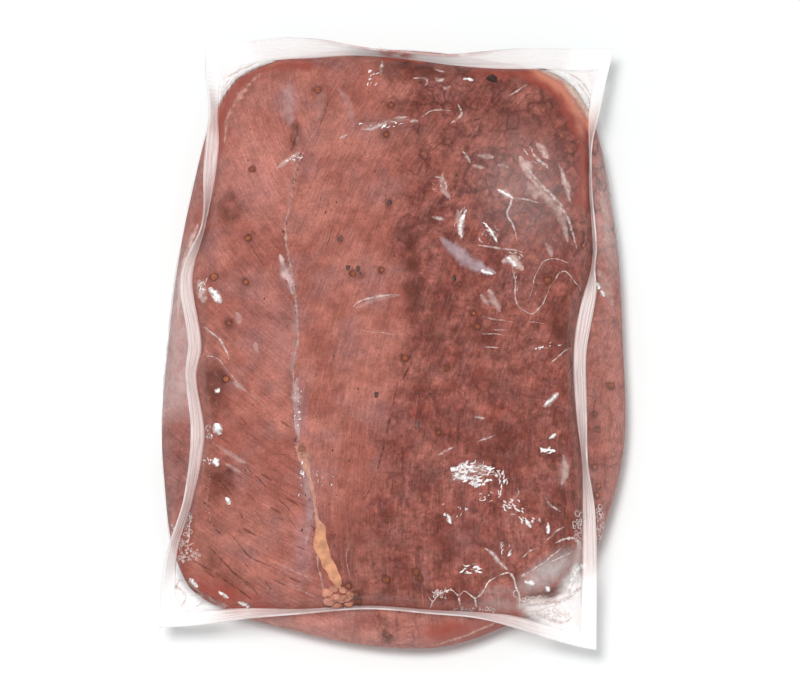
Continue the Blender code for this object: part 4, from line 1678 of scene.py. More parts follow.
def pushed_out(x, y, z, places, slack):
    """How far the front film stands off its smooth form: ridges, waves, and bumps over what it covers."""
    shoulder = past(z, BELOW_FRONT_FROM_Z) * past(z, ABOVE_SEAL_FROM_Z)
    push = SLACK_RIDGE * ridges(places, SLACK_RIDGE_SIZE, seed=1.0)
    push = slack * (push + FINE_RIDGE * ridges(places, FINE_RIDGE_SIZE, seed=2.0))
    ridge = ridges(places, SHOULDER_RIDGE_SIZE, seed=12.0) - SHOULDER_RIDGE_MEAN
    push += SHOULDER_RIDGE * shoulder * ridge
    push += FILM_WAVE * noise_at(places, FILM_WAVE_SIZE, seed=8.0)
    bumps = np.zeros(len(x))
    covered = [(mid_x, mid_y, SEED_BUMP_WIDTH, SEED_BUMP) for mid_x, mid_y in SEEDS]
    for mid_x, mid_y, half_x, _ in FAT_LUMPS:
        covered.append((mid_x, mid_y, FAT_BUMP_SHARE * half_x * MM, FAT_BUMP))
    for mid_x, mid_y, width, height in covered:
        reach = np.hypot(x - mid_x * MM, y - mid_y * MM) / width
        bumps = np.maximum(bumps, height * np.exp(-(reach**2)))
    return push + bumps


def front_film():
    rings = [shoulder_ring(share, seal_above, 0.0) for share in steps(FILM_SHOULDER_RINGS)]
    bm, _ = drawn_skin(FILM_ACROSS, FILM_ALONG, film_front, rings)
    facing(bm, True)
    x, y, _ = np.array([(e.verts[0].co + e.verts[1].co) / 2 for e in bm.edges]).T
    wanted = oval_strength(x, y, SLACK) + oval_strength(x, y, CLOUDS_AND_PAINTED_LIGHT) > FINE_FROM
    chosen = [e for e, fine in zip(bm.edges, wanted) if fine]
    bmesh.ops.subdivide_edges(bm, edges=chosen, cuts=1, use_grid_fill=True)
    bm.normal_update()
    places = np.array([v.co[:] for v in bm.verts])
    x, y, z = places.T
    slack = oval_strength(x, y, SLACK)
    for v, amount in zip(bm.verts, pushed_out(x, y, z, places, slack)):
        if not v.is_boundary:
            v.co += v.normal * float(amount)
    finish = film_material("clear_front_film", FRONT_VEIL, tight_bump=0.03, slack_bump=0.8, evenness=0.65)
    piece = piece_from(bm, "front_film", finish)
    empty = np.zeros(len(x))
    for corner in MEAT_CORNERS:
        _, _, distance, beyond, taper = from_corner(x, y, corner, CORNER_HAZE_SHIFT)
        past_meat = np.clip((distance / MM - corner[2]) / CORNER_HAZE_RUN, 0.0, 1.0)
        empty = np.maximum(empty, past_meat * beyond * taper)
    # the corner haze is partly the film's own haze and partly painted light, whitening the film over the
    # shade beneath the ears
    hazy_lit_corner = CORNER_HAZE_AND_LIGHT * empty * np.clip(2 * past(z, EARS_FROM_Z), 0.0, 1.0)
    write_attribute(piece.data, "slack", np.maximum(slack, CORNER_SLACK * empty))
    write_attribute(piece.data, "haze", np.maximum(oval_strength(x, y, CLOUDS_AND_PAINTED_LIGHT), hazy_lit_corner))
    return piece


front = front_film()
front.visible_shadow = False

# The creases.
# Folded edges and pinched points of the film are drawn as thin raised strips, in loose lines and in a few
# close clusters: the bright white lines and flecks are painted highlights, the soft pinkish ones partly
# painted sheen.
CREASES = (
    (((51, 70.3), (55.6, 63.7), (60.1, 58.7), (66, 52), (69.9, 45.1), (73.1, 33.6)), 0.9),
    (((66.2, 68.4), (68.9, 60.2), (70.8, 52)), 0.7),
    (((55.7, 72.5), (62.1, 66.3)), 0.9),
    (((58.8, 52), (48.8, 54), (46.5, 51.3), (45.5, 46.5), (47.5, 43.1), (49.1, 37.3)), 0.6),
    (((35.6, 43.9), (38.2, 41), (41.4, 35.7)), 1.1),
    (((28.8, 49.2), (26.3, 41), (27.6, 37.7)), 1.5),
    (((16.4, 62.2), (20.4, 61.6), (20.9, 56.7)), 0.7),
    (((27.7, 73.2), (30.9, 68.4)), 0.7),
    (((11.2, 87.8), (15.8, 90.5), (23.2, 90.5)), 0.4),
    (((25.8, 93.2), (27.2, 89.1), (23.1, 85)), 0.7),
    (((46.5, 96.7), (53.9, 101.6)), 0.4),
    (((7.7, 104.1), (12.6, 104.1), (13.5, 102.3), (12.2, 100.9)), 0.5),
    (((33, 34.6), (51.4, 32)), 0.5),
    (((47.3, 25.9), (48.3, 18.9), (48.8, 10.8), (54.4, 6.8), (58.3, 9.5), (60.4, 13.3), (61.5, 16.6)), 0.4),
    (((61.5, 16.6), (65.3, 22.6), (68, 24.2), (69.5, 23.1), (75.8, 16.6)), 0.35),
    (((70.5, 27.1), (65.3, 29.1), (61, 28.8), (57.8, 25.4), (56.1, 21.5), (55.2, 17.3), (53.5, 11.7)), 0.3),
    (((35, 5.2), (47.6, 3.1)), 0.34),
    (((39.2, 0.2), (44.8, -0.2)), 0.22),
    (((34.9, -1.4), (44.4, -2.1)), 0.24),
    (((52.8, 3.5), (60.3, 2.6)), 0.22),
    (((36, -6.9), (42, -7.2)), 0.22),
    (((55, -7.2), (61.8, -7.1)), 0.16),
    (((-13.3, -0.2), (-3.8, -1.4), (0.5, -1.8)), 0.14),
    (((61.7, -13.5), (70.1, -6.3)), 0.4),
    (((31.6, -35.1), (35.8, -35.6)), 0.7),
    (((17.6, -50.3), (23.2, -47.2)), 0.7),
    (((32.7, -45.1), (39.8, -42.4)), 0.5),
    (((44.7, -70.3), (48.5, -66.1), (48.6, -63.1)), 0.5),
    (((35.6, -87.2), (38, -88.8), (41.3, -92.6), (44.6, -95.7)), 1),
    (((59.2, -66.5), (61.6, -70.3), (65.4, -72.6)), 0.6),
    (((59.7, -84.1), (63, -80.8), (66.8, -78.4)), 0.4),
    (((50.2, -90.7), (54, -87.9), (57.7, -86.4)), 0.4),
    (((-75.9, 2.6), (-71.5, -1), (-68.3, -4.6), (-66, -8.7), (-65.3, -11.9)), 0.6),
    (((-76.3, -9.3), (-70.6, -10.7), (-66.8, -14.7), (-61.4, -21.6)), 0.3),
    (((-45.9, 67.4), (-42.3, 69.9), (-38.4, 72.8)), 0.8),
    (((-21.6, 78.6), (-18.8, 80.3)), 0.8),
    (((-12.7, 82.4), (-8.7, 82.8), (-3.1, 85.7)), 0.9),
    (((-0.3, 87), (5.3, 87.8)), 0.7),
    (((-16.1, 9.1), (-12.6, 12), (-5.4, 13.6), (2.5, 14.4)), 0.5),
    (((-4.8, 112.4), (-5.2, 105.6)), 0.9),
    (((16.8, 104.2), (18.4, 103.2), (20.2, 104)), 0.9),
    (((19.6, 100.4), (21.2, 99.9), (22.8, 100.4)), 0.8),
    (((28, 103.6), (30, 103.9), (32, 103.2)), 1.1),
    (((16.8, 108), (19, 107.4), (20.5, 107.3)), 0.6),
    (((41.6, 57.5), (47.6, 54)), 1.2),
    (((15.1, 45.9), (20.4, 45.1)), 0.9),
    (((45.1, 29.5), (49, 26.3)), 1.8),
    (((34.7, 24.2), (39.4, 22.6)), 1.6),
    (((6.5, 85.7), (9.7, 86.3)), 1),
    (((59.5, -30.3), (64.8, -25.5)), 1.4),
    (((60.3, -77), (60.7, -81.3)), 1.3),
    (((20.9, -73.7), (22.7, -77.4)), 1.4),
    (((61, -43.6), (63.8, -41.6)), 1.2),
    (((-73.4, 17.8), (-70.7, 14.2), (-68.3, 11.2)), 2.7),
    (((-70.6, -24.4), (-68.6, -23.8)), 1.9),
    (((-70.3, -37.6), (-68.2, -42)), 3),
    (((-70.5, -51.4), (-69, -54.6)), 2.3),
    (((-65.8, -67.1), (-64, -69.9)), 1.7),
    (((51.3, -75.4), (53.7, -79)), 1.3),
    (((42.3, -84.5), (42.7, -86.4)), 0.9),
    (((49.8, -98.2), (52.4, -96.7)), 0.8),
    (((51.1, -100.2), (55, -100.6)), 1.6),
    (((59.3, -101.7), (61.2, -102.9)), 1.6),
    (((-80.4, -97.4), (-78.8, -99.2), (-76.8, -100.8)), 1.7),
    (((-68.6, -103.4), (-64.6, -105.6)), 1.15),
    (((-61, -107.4), (-55.6, -109)), 1.1),
    (((76.6, -90.8), (72.6, -93.8), (70, -98.6), (69.2, -103.6)), 2.1),
    (((81.6, 22.6), (82.6, 20)), 1.5),
    (((83.2, 19.6), (84.8, 17.4)), 1.7),
)
FOLD_SHADES = (
    (((71, -102.8), (75.9, -98.7)), 1),
    (((76.5, -91.1), (76.7, -106.2)), 0.7),
    (((50.7, -109.1), (58.3, -107.8), (66.6, -106.3), (71.8, -102.7)), 0.9),
    (((55.5, -111.5), (61.1, -113.1), (66.2, -114.2), (70.6, -111.9)), 0.8),
    (((52, -106.4), (58, -105.4), (64, -103.8)), 0.7),
    (((-69.6, 102.7), (-64.8, 107.2), (-58.1, 110.9), (-50.1, 114)), 1.3),
    (((-68.4, 109.3), (-62, 112.1), (-56.5, 114.6)), 1),
    (((-70.4, 98), (-69.8, 104), (-67, 108)), 1),
    (((-88.7, -98), (-82, -103.3), (-83.7, -107.9)), 0.7),
    (((-81.2, -98.9), (-72.4, -105.3), (-63.2, -109.3)), 0.8),
    (((-86, -101), (-84.6, -97.6), (-81.8, -98)), 0.6),
    (((-80, -104), (-76.5, -103.4), (-74.8, -106), (-78, -108)), 0.6),
    (((74, 106), (79, 101), (81.5, 93)), 0.9),
    (((70, 110.6), (76, 107), (80.6, 102)), 0.7),
)
FOLD_SHADE_COLOUR = (0.60, 0.43, 0.39, 1.0)
# clusters of short creases, drawn as painted glints: middle, half sizes, direction in degrees, count, length
# and width
CLUSTERS = (
    (31, -57.5, 8.5, 4.6, 18, 62, 2.8, 0.42),
    (27, -56, 4.5, 3, 32, 24, 2.4, 0.6),
    (33.5, -60.5, 5, 2, 20, 16, 2.4, 0.7),
    (42.5, -61.5, 3, 5.5, 70, 16, 2.2, 0.5),
    (47, -71, 5, 3, -30, 16, 1.7, 0.5),
    (54, -75.5, 5, 2.6, -30, 14, 1.7, 0.5),
    (24, -72, 5, 7, 70, 9, 1, 0.4),
    (37, -67, 4, 2, 30, 8, 1.4, 0.4),
    (30, -95, 4.5, 2, 0, 12, 2.4, 0.6),
    (59.5, -48.5, 3.5, 2, 30, 8, 2.2, 0.6),
    (44, -88.5, 3.4, 2.6, 60, 7, 1.8, 0.4),
    (38, 39.5, 4, 5, -55, 10, 3, 0.5),
    (27, 44, 2.6, 6, 75, 7, 2.8, 0.5),
    (19, 59, 4, 4, -30, 7, 2, 0.35),
    (57, 72, 5, 3.5, -45, 9, 2.4, 0.5),
    (47, 30, 4, 3, -35, 8, 2.2, 0.6),
    (49, 20, 1.5, 6, 85, 6, 1.6, 0.35),
    (-8.5, 104, 2.6, 3.4, 60, 9, 1.6, 0.5),
    (77, 97, 4, 5, 60, 9, 2.2, 0.7),
    (-41, 70, 5, 1.6, 32, 8, 1.6, 0.5),
    (-4, 84, 12, 2, 20, 10, 1.8, 0.4),
    (-72.5, -40.5, 2.6, 2.4, 80, 12, 2, 0.3),
    (-72.5, -52.5, 3, 1.6, 80, 9, 1.6, 0.3),
    (-76, 19, 2.4, 2.4, 85, 7, 2.4, 0.4),
    (-36, -60, 1.6, 8, 90, 10, 1.2, 0.35),
    (-28, -60, 5, 4, 80, 12, 0.9, 0.35),
    (-38, -30, 1.8, 9, 90, 14, 0.8, 0.35),
    (60, -7, 8, 2, 40, 7, 1.2, 0.4),
)
# pale leaves of film that stand off the meat, their paleness partly painted sheen: the line along the
# middle, width, and how much they hide
LEAVES = (
    (((50.5, 71.5), (53.2, 67), (55, 62)), 5, 0.5),
    (((55, 62), (61, 54.5), (66.5, 47), (69.6, 36)), 4.6, 0.42),
    (((67, 67), (69, 60), (70.6, 53)), 3.2, 0.45),
    (((57.2, 77), (59.6, 74), (62, 70.5)), 4.2, 0.45),
    (((53.5, 60.5), (55.6, 57.5), (57, 53.5)), 4.6, 0.3),
    (((33.5, 71.6), (36.9, 71.2), (40.2, 71)), 3, 0.4),
    (((31.5, 67.2), (33.7, 67), (36, 66.4)), 2.2, 0.4),
    (((41.5, 67.6), (43.7, 67.4), (46, 66.6)), 2.4, 0.32),
    (((37.5, 16.5), (40, 11.5), (42.4, 7.5)), 4.4, 0.42),
    (((34.5, 14.5), (38, 9.5)), 2.6, 0.3),
    (((43, 28), (47.5, 28.2), (51.5, 24.5)), 5.4, 0.5),
    (((41.5, 57.5), (44.5, 56), (48, 53.5)), 4.2, 0.45),
    (((60.4, 35.5), (62.2, 33), (63, 30)), 3, 0.3),
    (((19.5, 64), (19.8, 58), (22.6, 53)), 3.4, 0.3),
    (((25.5, 49), (26.6, 42), (27, 37)), 4.2, 0.35),
    (((-63.4, -20.8), (-61, -22.4), (-58.4, -24.4)), 3.2, 0.3),
    (((-70, -46), (-63.8, -50), (-58, -53.6)), 3, 0.22),
    (((-66, -53.6), (-60, -57)), 2.4, 0.22),
    (((-78, 22), (-76.6, 17), (-75, 12)), 5, 0.5),
    (((-62.6, 7.4), (-61, 2.8)), 4, 0.25),
    (((-55, -5), (-53.6, -9)), 3, 0.22),
    (((-15, 8.6), (-8, 12.4), (2.4, 14)), 3.4, 0.22),
    (((59, -31), (62.2, -28), (65, -25)), 4.2, 0.4),
    (((22, -60.5), (29, -56.5), (38, -56)), 8, 0.26),
    (((66.4, -50), (67.6, -56), (66, -62)), 3.6, 0.35),
    (((-13.6, 83.4), (-4, 85.4), (7, 87)), 2.6, 0.12),
    (((-46.6, 66.6), (-42, 69.6), (-37.6, 73)), 3.2, 0.25),
    (((33, -104.4), (41, -103), (47, -104)), 6, 0.16),
    (((-79, 47), (-82.4, 37), (-85.6, 22), (-86.6, 8)), 4.6, 0.5),
    (((84, 62), (86, 50), (86.6, 34)), 5, 0.28),
    (((82, 28), (85, 22), (88, 14)), 6, 0.3),
)
BLUISH_FILM = (((18.6, 37.5), (23.4, 33), (30.4, 27.6), (36, 24.2), (40.6, 23)), 7.2, 0.5)
LEAF_SHEEN_COLOUR = (0.84, 0.60, 0.55, 1.0)
BLUISH_COLOUR = (0.56, 0.42, 0.46, 1.0)
GLINT_WHITE = (0.98, 0.94, 0.93, 1.0)
# the soft strips are partly painted sheen of the lifted film along its creases
SOFT_SHEEN_COLOUR = (0.86, 0.69, 0.65, 1.0)
FAINT_WIDTH = 1.05
CREASE_WIDER, CREASE_RIDGE = 1.6, 0.2
FAINT_WIDER, FAINT_RIDGE = 2.4, 0.25
SHADE_WIDER = 2.4
CLUSTER_LEAN = 24
CLUSTER_LENGTHS = (0.4, 1.3)
CLUSTER_WIDTHS = (0.8, 2.4)
CLUSTER_BOW = 0.5
# the clusters of the upper right are soft: painted sheen rather than bright glints
SOFT_FROM_X, SOFT_FROM_Y = 0.0, 10.0

on_film = surface_of(front, back)
draw = random.Random(23)
# the pale leaves are partly painted sheen of the film where it stands off the meat
finish = leaf_material("lifted_film_sheen", LEAF_SHEEN_COLOUR, roughness=0.25, size=0.0036)
leaves_on(on_film, "film_leaves", LEAVES, finish, draw)
finish = leaf_material("bluish_film", BLUISH_COLOUR, roughness=0.3, size=0.006)
leaves_on(on_film, "bluish_leaf", (BLUISH_FILM,), finish, draw)
bm = bmesh.new()
faint = bmesh.new()
for points, width in CREASES:
    if width > FAINT_WIDTH:
        wide, ridge = width * CREASE_WIDER, width * CREASE_RIDGE
        lay_strip(bm, on_film, points, wide, draw, ridge, ragged=0.4, above=0.1)
    else:
        wide, ridge = width * FAINT_WIDER, width * FAINT_RIDGE
        lay_strip(faint, on_film, points, wide, draw, ridge, ragged=0.3, above=0.1)
for mid_x, mid_y, half_x, half_y, direction, count, length, width in CLUSTERS:
    for _ in range(count):
        x, y = spot_in(mid_x, mid_y, half_x, half_y, draw)
        lean = math.radians(direction + draw.gauss(0, CLUSTER_LEAN))
        half = length / 2 * draw.uniform(*CLUSTER_LENGTHS)
        bow = draw.uniform(-CLUSTER_BOW, CLUSTER_BOW) * half
        run_x, run_y = math.cos(lean), math.sin(lean)
        points = (
            (x - run_x * half, y - run_y * half),
            (x - run_y * bow, y + run_x * bow),
            (x + run_x * half, y + run_y * half),
        )
        into = faint if mid_x > SOFT_FROM_X and mid_y > SOFT_FROM_Y else bm
        wide = width * draw.uniform(*CLUSTER_WIDTHS)
        lay_strip(into, on_film, points, wide, draw, ridge=0.2, ragged=0.6, above=0.1, step=0.5)
# painted sheen: soft pinkish strips along the fainter creases and in the upper right clusters
finish = strip_material(
    "faint_crease_sheen", SOFT_SHEEN_COLOUR, cover=0.62, roughness=0.25, ragged_size=0.0016, broken=0.7
)
piece_from(faint, "faint_sheen_creases", finish)
shades = bmesh.new()
for points, width in FOLD_SHADES:
    lay_strip(shades, on_film, points, width * SHADE_WIDER, draw, ridge=0.05, ragged=0.5, above=0.08)
finish = strip_material(
    "fold_shade", FOLD_SHADE_COLOUR, cover=0.36, roughness=0.4, ragged_size=0.0016, broken=0.6
)
piece_from(shades, "fold_shades", finish)
# painted highlights: bright white strips that stand for the glints on the creases and pinched points
finish = strip_material("glinting_crease_film", GLINT_WHITE, cover=1.0, roughness=0.25, ragged_size=0.0012)
piece_from(bm, "film_crease_glints", finish)

# The froth.
# Bubbles of marinade gather in the pouch's lower corners and along its foot: flattened bubbles that
# touch each other, and thin walls of froth that branch between film and meat.
FROTH_WALLS = (
    (((13, -104.9), (15.2, -107.2), (17.3, -105.3), (19.6, -104), (22.7, -103.3), (25.4, -105.7)), 0.35),
    (((25.4, -105.7), (27.8, -103.7), (31.7, -106.3), (35.2, -103.3), (37.5, -99.8), (40.9, -97.8)), 0.4),
    (((40.9, -97.8), (45.6, -97), (48, -102.4), (49.1, -106), (49.3, -109.9)), 0.5),
    (((15.2, -107.2), (14.2, -109.5)), 0.35),
    (((25.4, -105.7), (26.1, -109.1)), 0.4),
    (((31.7, -106.3), (32.4, -109.1)), 0.5),
    (((17.3, -105.3), (14.9, -103.7)), 0.3),
    (((17.3, -105.3), (17.3, -102.9)), 0.3),
    (((17.3, -105.3), (18.8, -103.3)), 0.3),
    (((19.6, -104), (20.4, -102.4)), 0.3),
    (((62.9, -85.1), (67.7, -82.9), (71.6, -82.5), (73.9, -85.3)), 0.6),
    (((60.9, -92.3), (66, -90), (69.6, -87.6)), 0.4),
    (((52, -97), (58, -93), (66, -86.5)), 0.3),
    (((75, -93.1), (70.9, -95.5), (69.2, -99.6), (69, -104)), 0.7),
    (((69.4, -103.7), (74.1, -100.2)), 0.4),
    (((49.3, -107), (56, -107.6), (63, -106.8), (70, -104)), 0.6),
    (((50.3, -111), (56.9, -110.3), (64.7, -107.4)), 0.4),
    (((76, -72), (73.6, -76), (74.6, -82), (76, -84)), 0.35),
    (((-81, -70), (-80, -78), (-80.6, -86), (-76, -89)), 0.3),
    (((-84, -84), (-81, -85), (-78, -84)), 0.3),
    (((-85.6, -90), (-82, -89), (-79, -91)), 0.3),
)
# froth: middle, half sizes, smallest and largest bubble radius in millimetres, and count
FROTH = (
    (-81, -77, 1.6, 6.5, 0.22, 0.8, 130),
    (-83.4, -87, 1.8, 5, 0.22, 0.7, 110),
    (-79, -88.5, 3.4, 2.2, 0.22, 0.6, 90),
    (-87.6, -80, 1, 6, 0.22, 0.6, 60),
    (56, -106.6, 8, 0.9, 0.5, 0.8, 90),
    (49.2, -105, 1.6, 2, 0.9, 1.4, 6),
    (62, -111, 9, 1.8, 0.3, 0.8, 70),
    (73, -78, 2.2, 7.5, 0.5, 1.7, 60),
    (75.5, -88, 1, 8, 0.3, 0.7, 60),
    (82, -73.5, 1.6, 7, 0.3, 1, 80),
    (31, -110.3, 9, 0.8, 0.3, 0.6, 40),
    (20, -104.4, 6, 2, 0.22, 0.5, 24),
)
FROTH_COLOUR = (0.96, 0.80, 0.76, 1.0)
BUBBLE_COLOUR = (0.95, 0.84, 0.81, 1.0)
RING_FROM = 0.3 * MM
CROWDING = 0.92
WALL_WIDER = 2.2
BUBBLE_WALL_WIDTHS = (0.45, 0.7)
SMALL_BUBBLE_POWER = 2.2
BUBBLE_CLEARNESS = 0.99
BUBBLE_FLATNESS = 0.7
BUBBLE_HALF_HEIGHT = 0.6 * MM
BUBBLE_SINK = 0.3


def bubble_material():
    """Thin skins of bubbles: clear in the middle and white at the edge, where they are seen along."""
    made, tree, places = uneven_material("bubble_skin")
    edge = put(tree, "ShaderNodeLayerWeight", {"Blend": 0.35}).outputs["Facing"]
    patchy = ramp(tree, lumps(tree, places, 0.003, 2.0), 0.3, 0.7, 0.4, 1.0)
    cover = times(tree, ramp(tree, edge, 0.5, 0.95, 0.04, 0.4), patchy)
    wall = put(tree, "ShaderNodeBsdfPrincipled", {"Base Color": BUBBLE_COLOUR, "Roughness": 0.2}).outputs[0]
    show_over_clear(tree, cover, wall, BUBBLE_CLEARNESS)
    return made


draw = random.Random(31)
walls = bmesh.new()
for points, width in FROTH_WALLS:
    wide = width * WALL_WIDER
    lay_strip(walls, on_film, points, wide, draw, ridge=0.05, ragged=0.5, above=0.1, step=0.5)
bm = bmesh.new()
placed = []
for mid_x, mid_y, half_x, half_y, smallest, largest, count in FROTH:
    for _ in range(count):
        x, y = [at * MM for at in spot_in(mid_x, mid_y, half_x, half_y, draw)]
        radius = between(smallest, largest, draw.uniform(0, 1) ** SMALL_BUBBLE_POWER) * MM
        crowded = any(
            math.hypot(x - at_x, y - at_y) < CROWDING * (radius + size) for at_x, at_y, size in placed
        )
        film_top = height_on(on_film, x, y)
        if crowded or film_top is None:
            continue
        placed.append((x, y, radius))
        half_z = min(radius * BUBBLE_FLATNESS, BUBBLE_HALF_HEIGHT)
        lay_lump(bm, x, y, film_top - half_z * BUBBLE_SINK, radius, radius, half_z, draw, ragged=0.2)
        if radius > RING_FROM:
            circle = circle_about(x / MM, y / MM, radius / MM, radius / MM)
            wide = draw.uniform(*BUBBLE_WALL_WIDTHS)
            lay_strip(walls, on_film, circle, wide, draw, ridge=0.05, ragged=0.3, above=0.12, step=0.3)
piece_from(bm, "froth_bubbles", bubble_material())
finish = strip_material("froth_wall", FROTH_COLOUR, cover=0.72, roughness=0.25, ragged_size=0.0012)
piece_from(walls, "froth_walls", finish)

# The seal band.
# The two films are welded together in a band round the pouch. It is milky, has fine ribs pressed across
# it by the sealing bar and long pleats along it, and stands up or twists at the pouch's full sides.
BAND_ACROSS = 200
BAND_ALONG = 280
BAND_RINGS = 8
EAR_COVER = 0.96
WELD_WHITE = (1.0, 0.985, 0.98, 1.0)
WELD_PINK = (1.0, 0.925, 0.91, 1.0)
JUICE_COLOUR = (0.50, 0.11, 0.072, 1.0)
LIGHT_LET_THROUGH = 0.5
LIGHT_FROM_BEHIND = 0.9
# how high the pressed ribs and the pleats are, and how much of the pleats' place is drift
RIB_RELIEF = 0.06
PLEAT_RELIEF = 0.5
PLEAT_DRIFT = 0.12
RIB_SHADE = 0.6
MIDDLE_PLEAT = 0.52
BAND_CLEARNESS = 0.98
# the stretch of the top band that stands up and is milkiest, and the two where juice has run into it
MILKY_MIDDLE = 4 * MM
MILKY_HALF_WIDTH = 26 * MM
JUICE_MIDDLE = 1 * MM
JUICE_HALF_WIDTH = 7 * MM
EDGE_JUICE_MIDDLE = 8 * MM
EDGE_JUICE_HALF_WIDTH = 36 * MM
MORE_MILK = 0.22
POOL_INNER_SHARE = 0.4
MOST_JUICE = 0.95
EDGE_JUICE_FROM = 0.825
EDGE_JUICE_GAIN = 8
MOST_EDGE_JUICE = 0.6
EVEN_FROM_Y = 105 * MM
EVENNESS = 0.75


def band_ring(share, side):
    def place(a, b):
        inner = Vector(band_point(a, b, False, side))
        outer = Vector(band_point(a, b, True, side))
        return tuple(inner.lerp(outer, share))

    return place


def band_relief(tree, places, even, flat):
    """The band's pressed ribs, on its flat stretches, and its pleats, on the others."""
    keys = {"Vector": places, "Scale": 520.0, "Distortion": 0.4, "Detail": 1.0}
    ribs = put(tree, "ShaderNodeTexWave", keys)
    ribs.wave_type = "BANDS"
    ribs.bands_direction = "DIAGONAL"
    pleat_place = put(tree, "ShaderNodeCombineXYZ", {0: drawn_value(tree, "across")}).outputs[0]
    keys = {"Vector": places, "Scale": 60.0, "Detail": 1.0}
    drift = put(tree, "ShaderNodeTexNoise", keys).outputs["Color"]
    keys = {"Vector": mixed_vectors(tree, PLEAT_DRIFT, pleat_place, drift), "Scale": 14.0, "Detail": 3.0}
    pleats = put(tree, "ShaderNodeTexNoise", keys).outputs["Fac"]
    pleats = mixed(tree, even, pleats, grey(MIDDLE_PLEAT))
    ribbed = times(tree, ribs.outputs["Fac"], flat)
    pleated = times(tree, pleats, maths(tree, "SUBTRACT", 1.0, flat))
    height = maths(tree, "ADD", times(tree, ribbed, RIB_RELIEF), times(tree, pleated, PLEAT_RELIEF))
    return pleats, ribbed, height


def band_material():
    made, tree, places = uneven_material("welded_film")
    even = drawn_value(tree, "even")
    flat = ramp(tree, drawn_value(tree, "ear"), 0.3, 0.7)
    pleats, ribbed, height = band_relief(tree, places, even, flat)
    up = put(tree, "ShaderNodeCombineXYZ", {2: 1.0}).outputs[0]
    towards_up = times(tree, even, LIGHT_FROM_BEHIND)
    normal = mixed_vectors(tree, towards_up, bumped(tree, height, 1.0, 0.0006), up)
    tone = mixed(tree, maths(tree, "MAXIMUM", flat, even), WELD_PINK, WELD_WHITE)
    tone = mixed(tree, times(tree, ribbed, RIB_SHADE), tone, grey(0.86))
    patchy = ramp(tree, lumps(tree, places, 0.006, 3.0), 0.35, 0.55, 0.3, 1.0)
    juice = times(tree, drawn_value(tree, "juice"), patchy)
    tone = mixed(tree, juice, tone, JUICE_COLOUR)
    keys = {"Base Color": tone, "Roughness": 0.3, "Specular IOR Level": 0.2, "Normal": normal}
    milk = put(tree, "ShaderNodeBsdfPrincipled", keys).outputs[0]
    cover = ramp(tree, pleats, 0.35, 0.65, 0.32, 0.78)
    whole = times(tree, flat, maths(tree, "SUBTRACT", EAR_COVER, cover))
    cover = maths(tree, "ADD", cover, whole, clamp=True)
    cover = maths(tree, "MAXIMUM", times(tree, cover, drawn_value(tree, "milky")), juice)
    for_shadow = put(tree, "ShaderNodeLightPath").outputs["Is Shadow Ray"]
    passing = times(tree, for_shadow, LIGHT_LET_THROUGH)
    cover = times(tree, cover, maths(tree, "SUBTRACT", 1.0, passing))
    show_over_clear(tree, cover, milk, BAND_CLEARNESS)
    return made


def hump(x, middle, half_width):
    """From 1 at the middle of a stretch to 0 beyond its ends, with a flat top."""
    return np.exp(-(((x - middle) / half_width) ** 4))


def write_band_traits(mesh, across, ears):
    x, y, _ = vertex_places(mesh).T
    on_top_side = y > 0
    share = np.array(across)
    pool = hump(x, JUICE_MIDDLE, JUICE_HALF_WIDTH) * np.clip(POOL_INNER_SHARE + share, 0.0, MOST_JUICE)
    rise = EDGE_JUICE_GAIN * (share - EDGE_JUICE_FROM)
    edge = hump(x, EDGE_JUICE_MIDDLE, EDGE_JUICE_HALF_WIDTH) * np.clip(rise, 0.0, MOST_EDGE_JUICE)
    write_attribute(mesh, "milky", 1 + MORE_MILK * hump(x, MILKY_MIDDLE, MILKY_HALF_WIDTH) * on_top_side)
    write_attribute(mesh, "across", across)
    write_attribute(mesh, "ear", ears)
    write_attribute(mesh, "juice", np.maximum(pool, edge) * on_top_side)
    write_attribute(mesh, "even", EVENNESS * (y > EVEN_FROM_Y))


def seal_band():
    bm = bmesh.new()
    bmesh.ops.create_grid(bm, x_segments=BAND_ACROSS, y_segments=BAND_ALONG, size=1.0)
    bmesh.ops.delete(bm, geom=[v for v in bm.verts if not v.is_boundary], context="VERTS")
    square = on_square(bm)
    places = {v: band_ring(0.0, 1)(*square[v]) for v in bm.verts}
    across = {v: 0.0 for v in bm.verts}
    first = list(bm.edges)
    rim = first
    shares = steps(BAND_RINGS)
    for share, side in [*[(s, 1) for s in shares], *[(s, -1) for s in reversed([0.0, *shares])]]:
        rim, fresh = extruded(bm, rim, band_ring(share, side), square, places)
        across.update({v: share for v in fresh})
    for v, place in places.items():
        v.co = place
    bmesh.ops.bridge_loops(bm, edges=first + rim)
    bmesh.ops.recalc_face_normals(bm, faces=bm.faces)
    bm.verts.index_update()
    order = sorted(across, key=lambda v: v.index)
    shares_across = [across[v] for v in order]
    ears = [earness(*square[v]) for v in order]
    piece = piece_from(bm, "seal_band", band_material())
    write_band_traits(piece.data, shares_across, ears)
    return piece


seal_band()

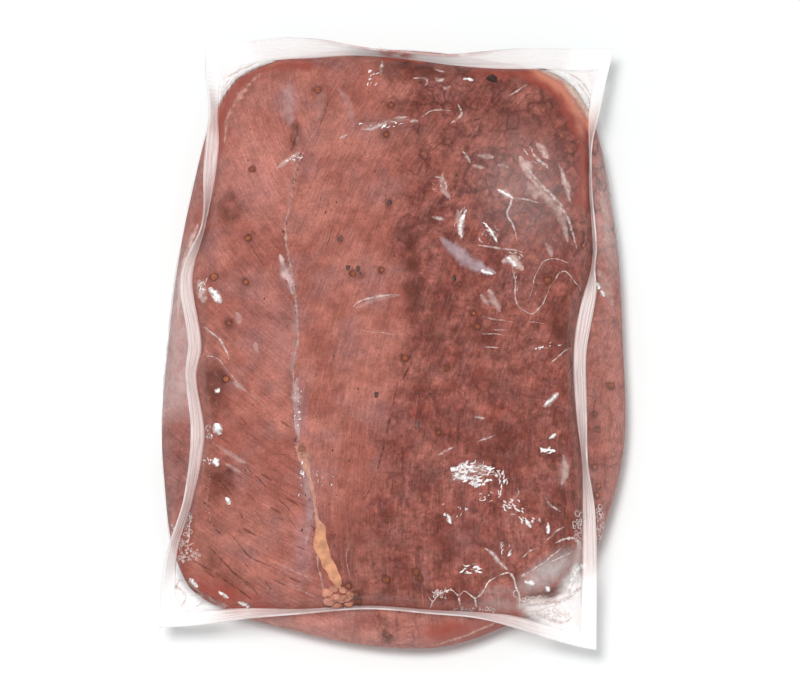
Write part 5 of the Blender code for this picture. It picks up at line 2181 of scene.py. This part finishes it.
# The floor and the light.
# The floor is a plain white table. A soft light comes from near the camera, and a small one at the left
# shows only as glints in the film.
TABLE_COLOUR = (0.945, 0.985, 0.985, 1.0)
FLOOR_HALF_SIZE = 3.0
LIT_POINT = Vector((0.0, 0.0, 0.03))
SKY_STRENGTH = 0.45
floor_mesh = bpy.data.meshes.new("floor")
bm = bmesh.new()
bmesh.ops.create_grid(bm, x_segments=1, y_segments=1, size=FLOOR_HALF_SIZE)
bm.to_mesh(floor_mesh)
bm.free()
floor = bpy.data.objects.new("floor", floor_mesh)
bpy.context.scene.collection.objects.link(floor)
floor_finish, tree = new_material("white_table")
show(tree, put(tree, "ShaderNodeBsdfPrincipled", {"Base Color": TABLE_COLOUR, "Roughness": 0.9}))
floor_mesh.materials.append(floor_finish)


def softbox(name, place, size, power, for_gloss):
    """A rectangular light that either lights the scene or only shows in its glossy surfaces."""
    light = bpy.data.lights.new(name, "AREA")
    light.shape = "RECTANGLE"
    light.size, light.size_y = size
    light.energy = power
    lamp = bpy.data.objects.new(name, light)
    lamp.location = place
    lamp.rotation_euler = (LIT_POINT - Vector(place)).to_track_quat("-Z", "Y").to_euler()
    lamp.visible_glossy = for_gloss
    lamp.visible_diffuse = not for_gloss
    bpy.context.scene.collection.objects.link(lamp)


softbox("key", place=(-0.14, -0.10, 1.55), size=(0.26, 0.26), power=16.6, for_gloss=False)
softbox("left_glint", place=(-0.62, 0.10, 0.95), size=(0.20, 0.24), power=0.6, for_gloss=True)
world = bpy.data.worlds.new("studio")
bpy.context.scene.world = world
world.use_nodes = True
sky = world.node_tree.nodes["Background"].inputs
sky["Color"].default_value = grey(1.0)
sky["Strength"].default_value = SKY_STRENGTH

# The camera looks down on the pouch, a little from below its lower edge.
CAMERA_TARGET = Vector((2.5 * MM, -5 * MM, 40 * MM))
CAMERA_DISTANCE = 1.25
CAMERA_ELEVATION = math.radians(78)
FRAME_WIDTH = 0.32
SENSOR_WIDTH = 36.0
camera_data = bpy.data.cameras.new("camera")
camera_data.sensor_width = SENSOR_WIDTH
camera_data.lens = SENSOR_WIDTH * CAMERA_DISTANCE / FRAME_WIDTH
camera = bpy.data.objects.new("camera", camera_data)
towards = Vector((0.0, -math.cos(CAMERA_ELEVATION), math.sin(CAMERA_ELEVATION)))
camera.location = CAMERA_TARGET + CAMERA_DISTANCE * towards
camera.rotation_euler = (-towards).to_track_quat("-Z", "Y").to_euler()
bpy.context.scene.collection.objects.link(camera)
bpy.context.scene.camera = camera
bpy.context.scene.view_settings.view_transform = "Standard"
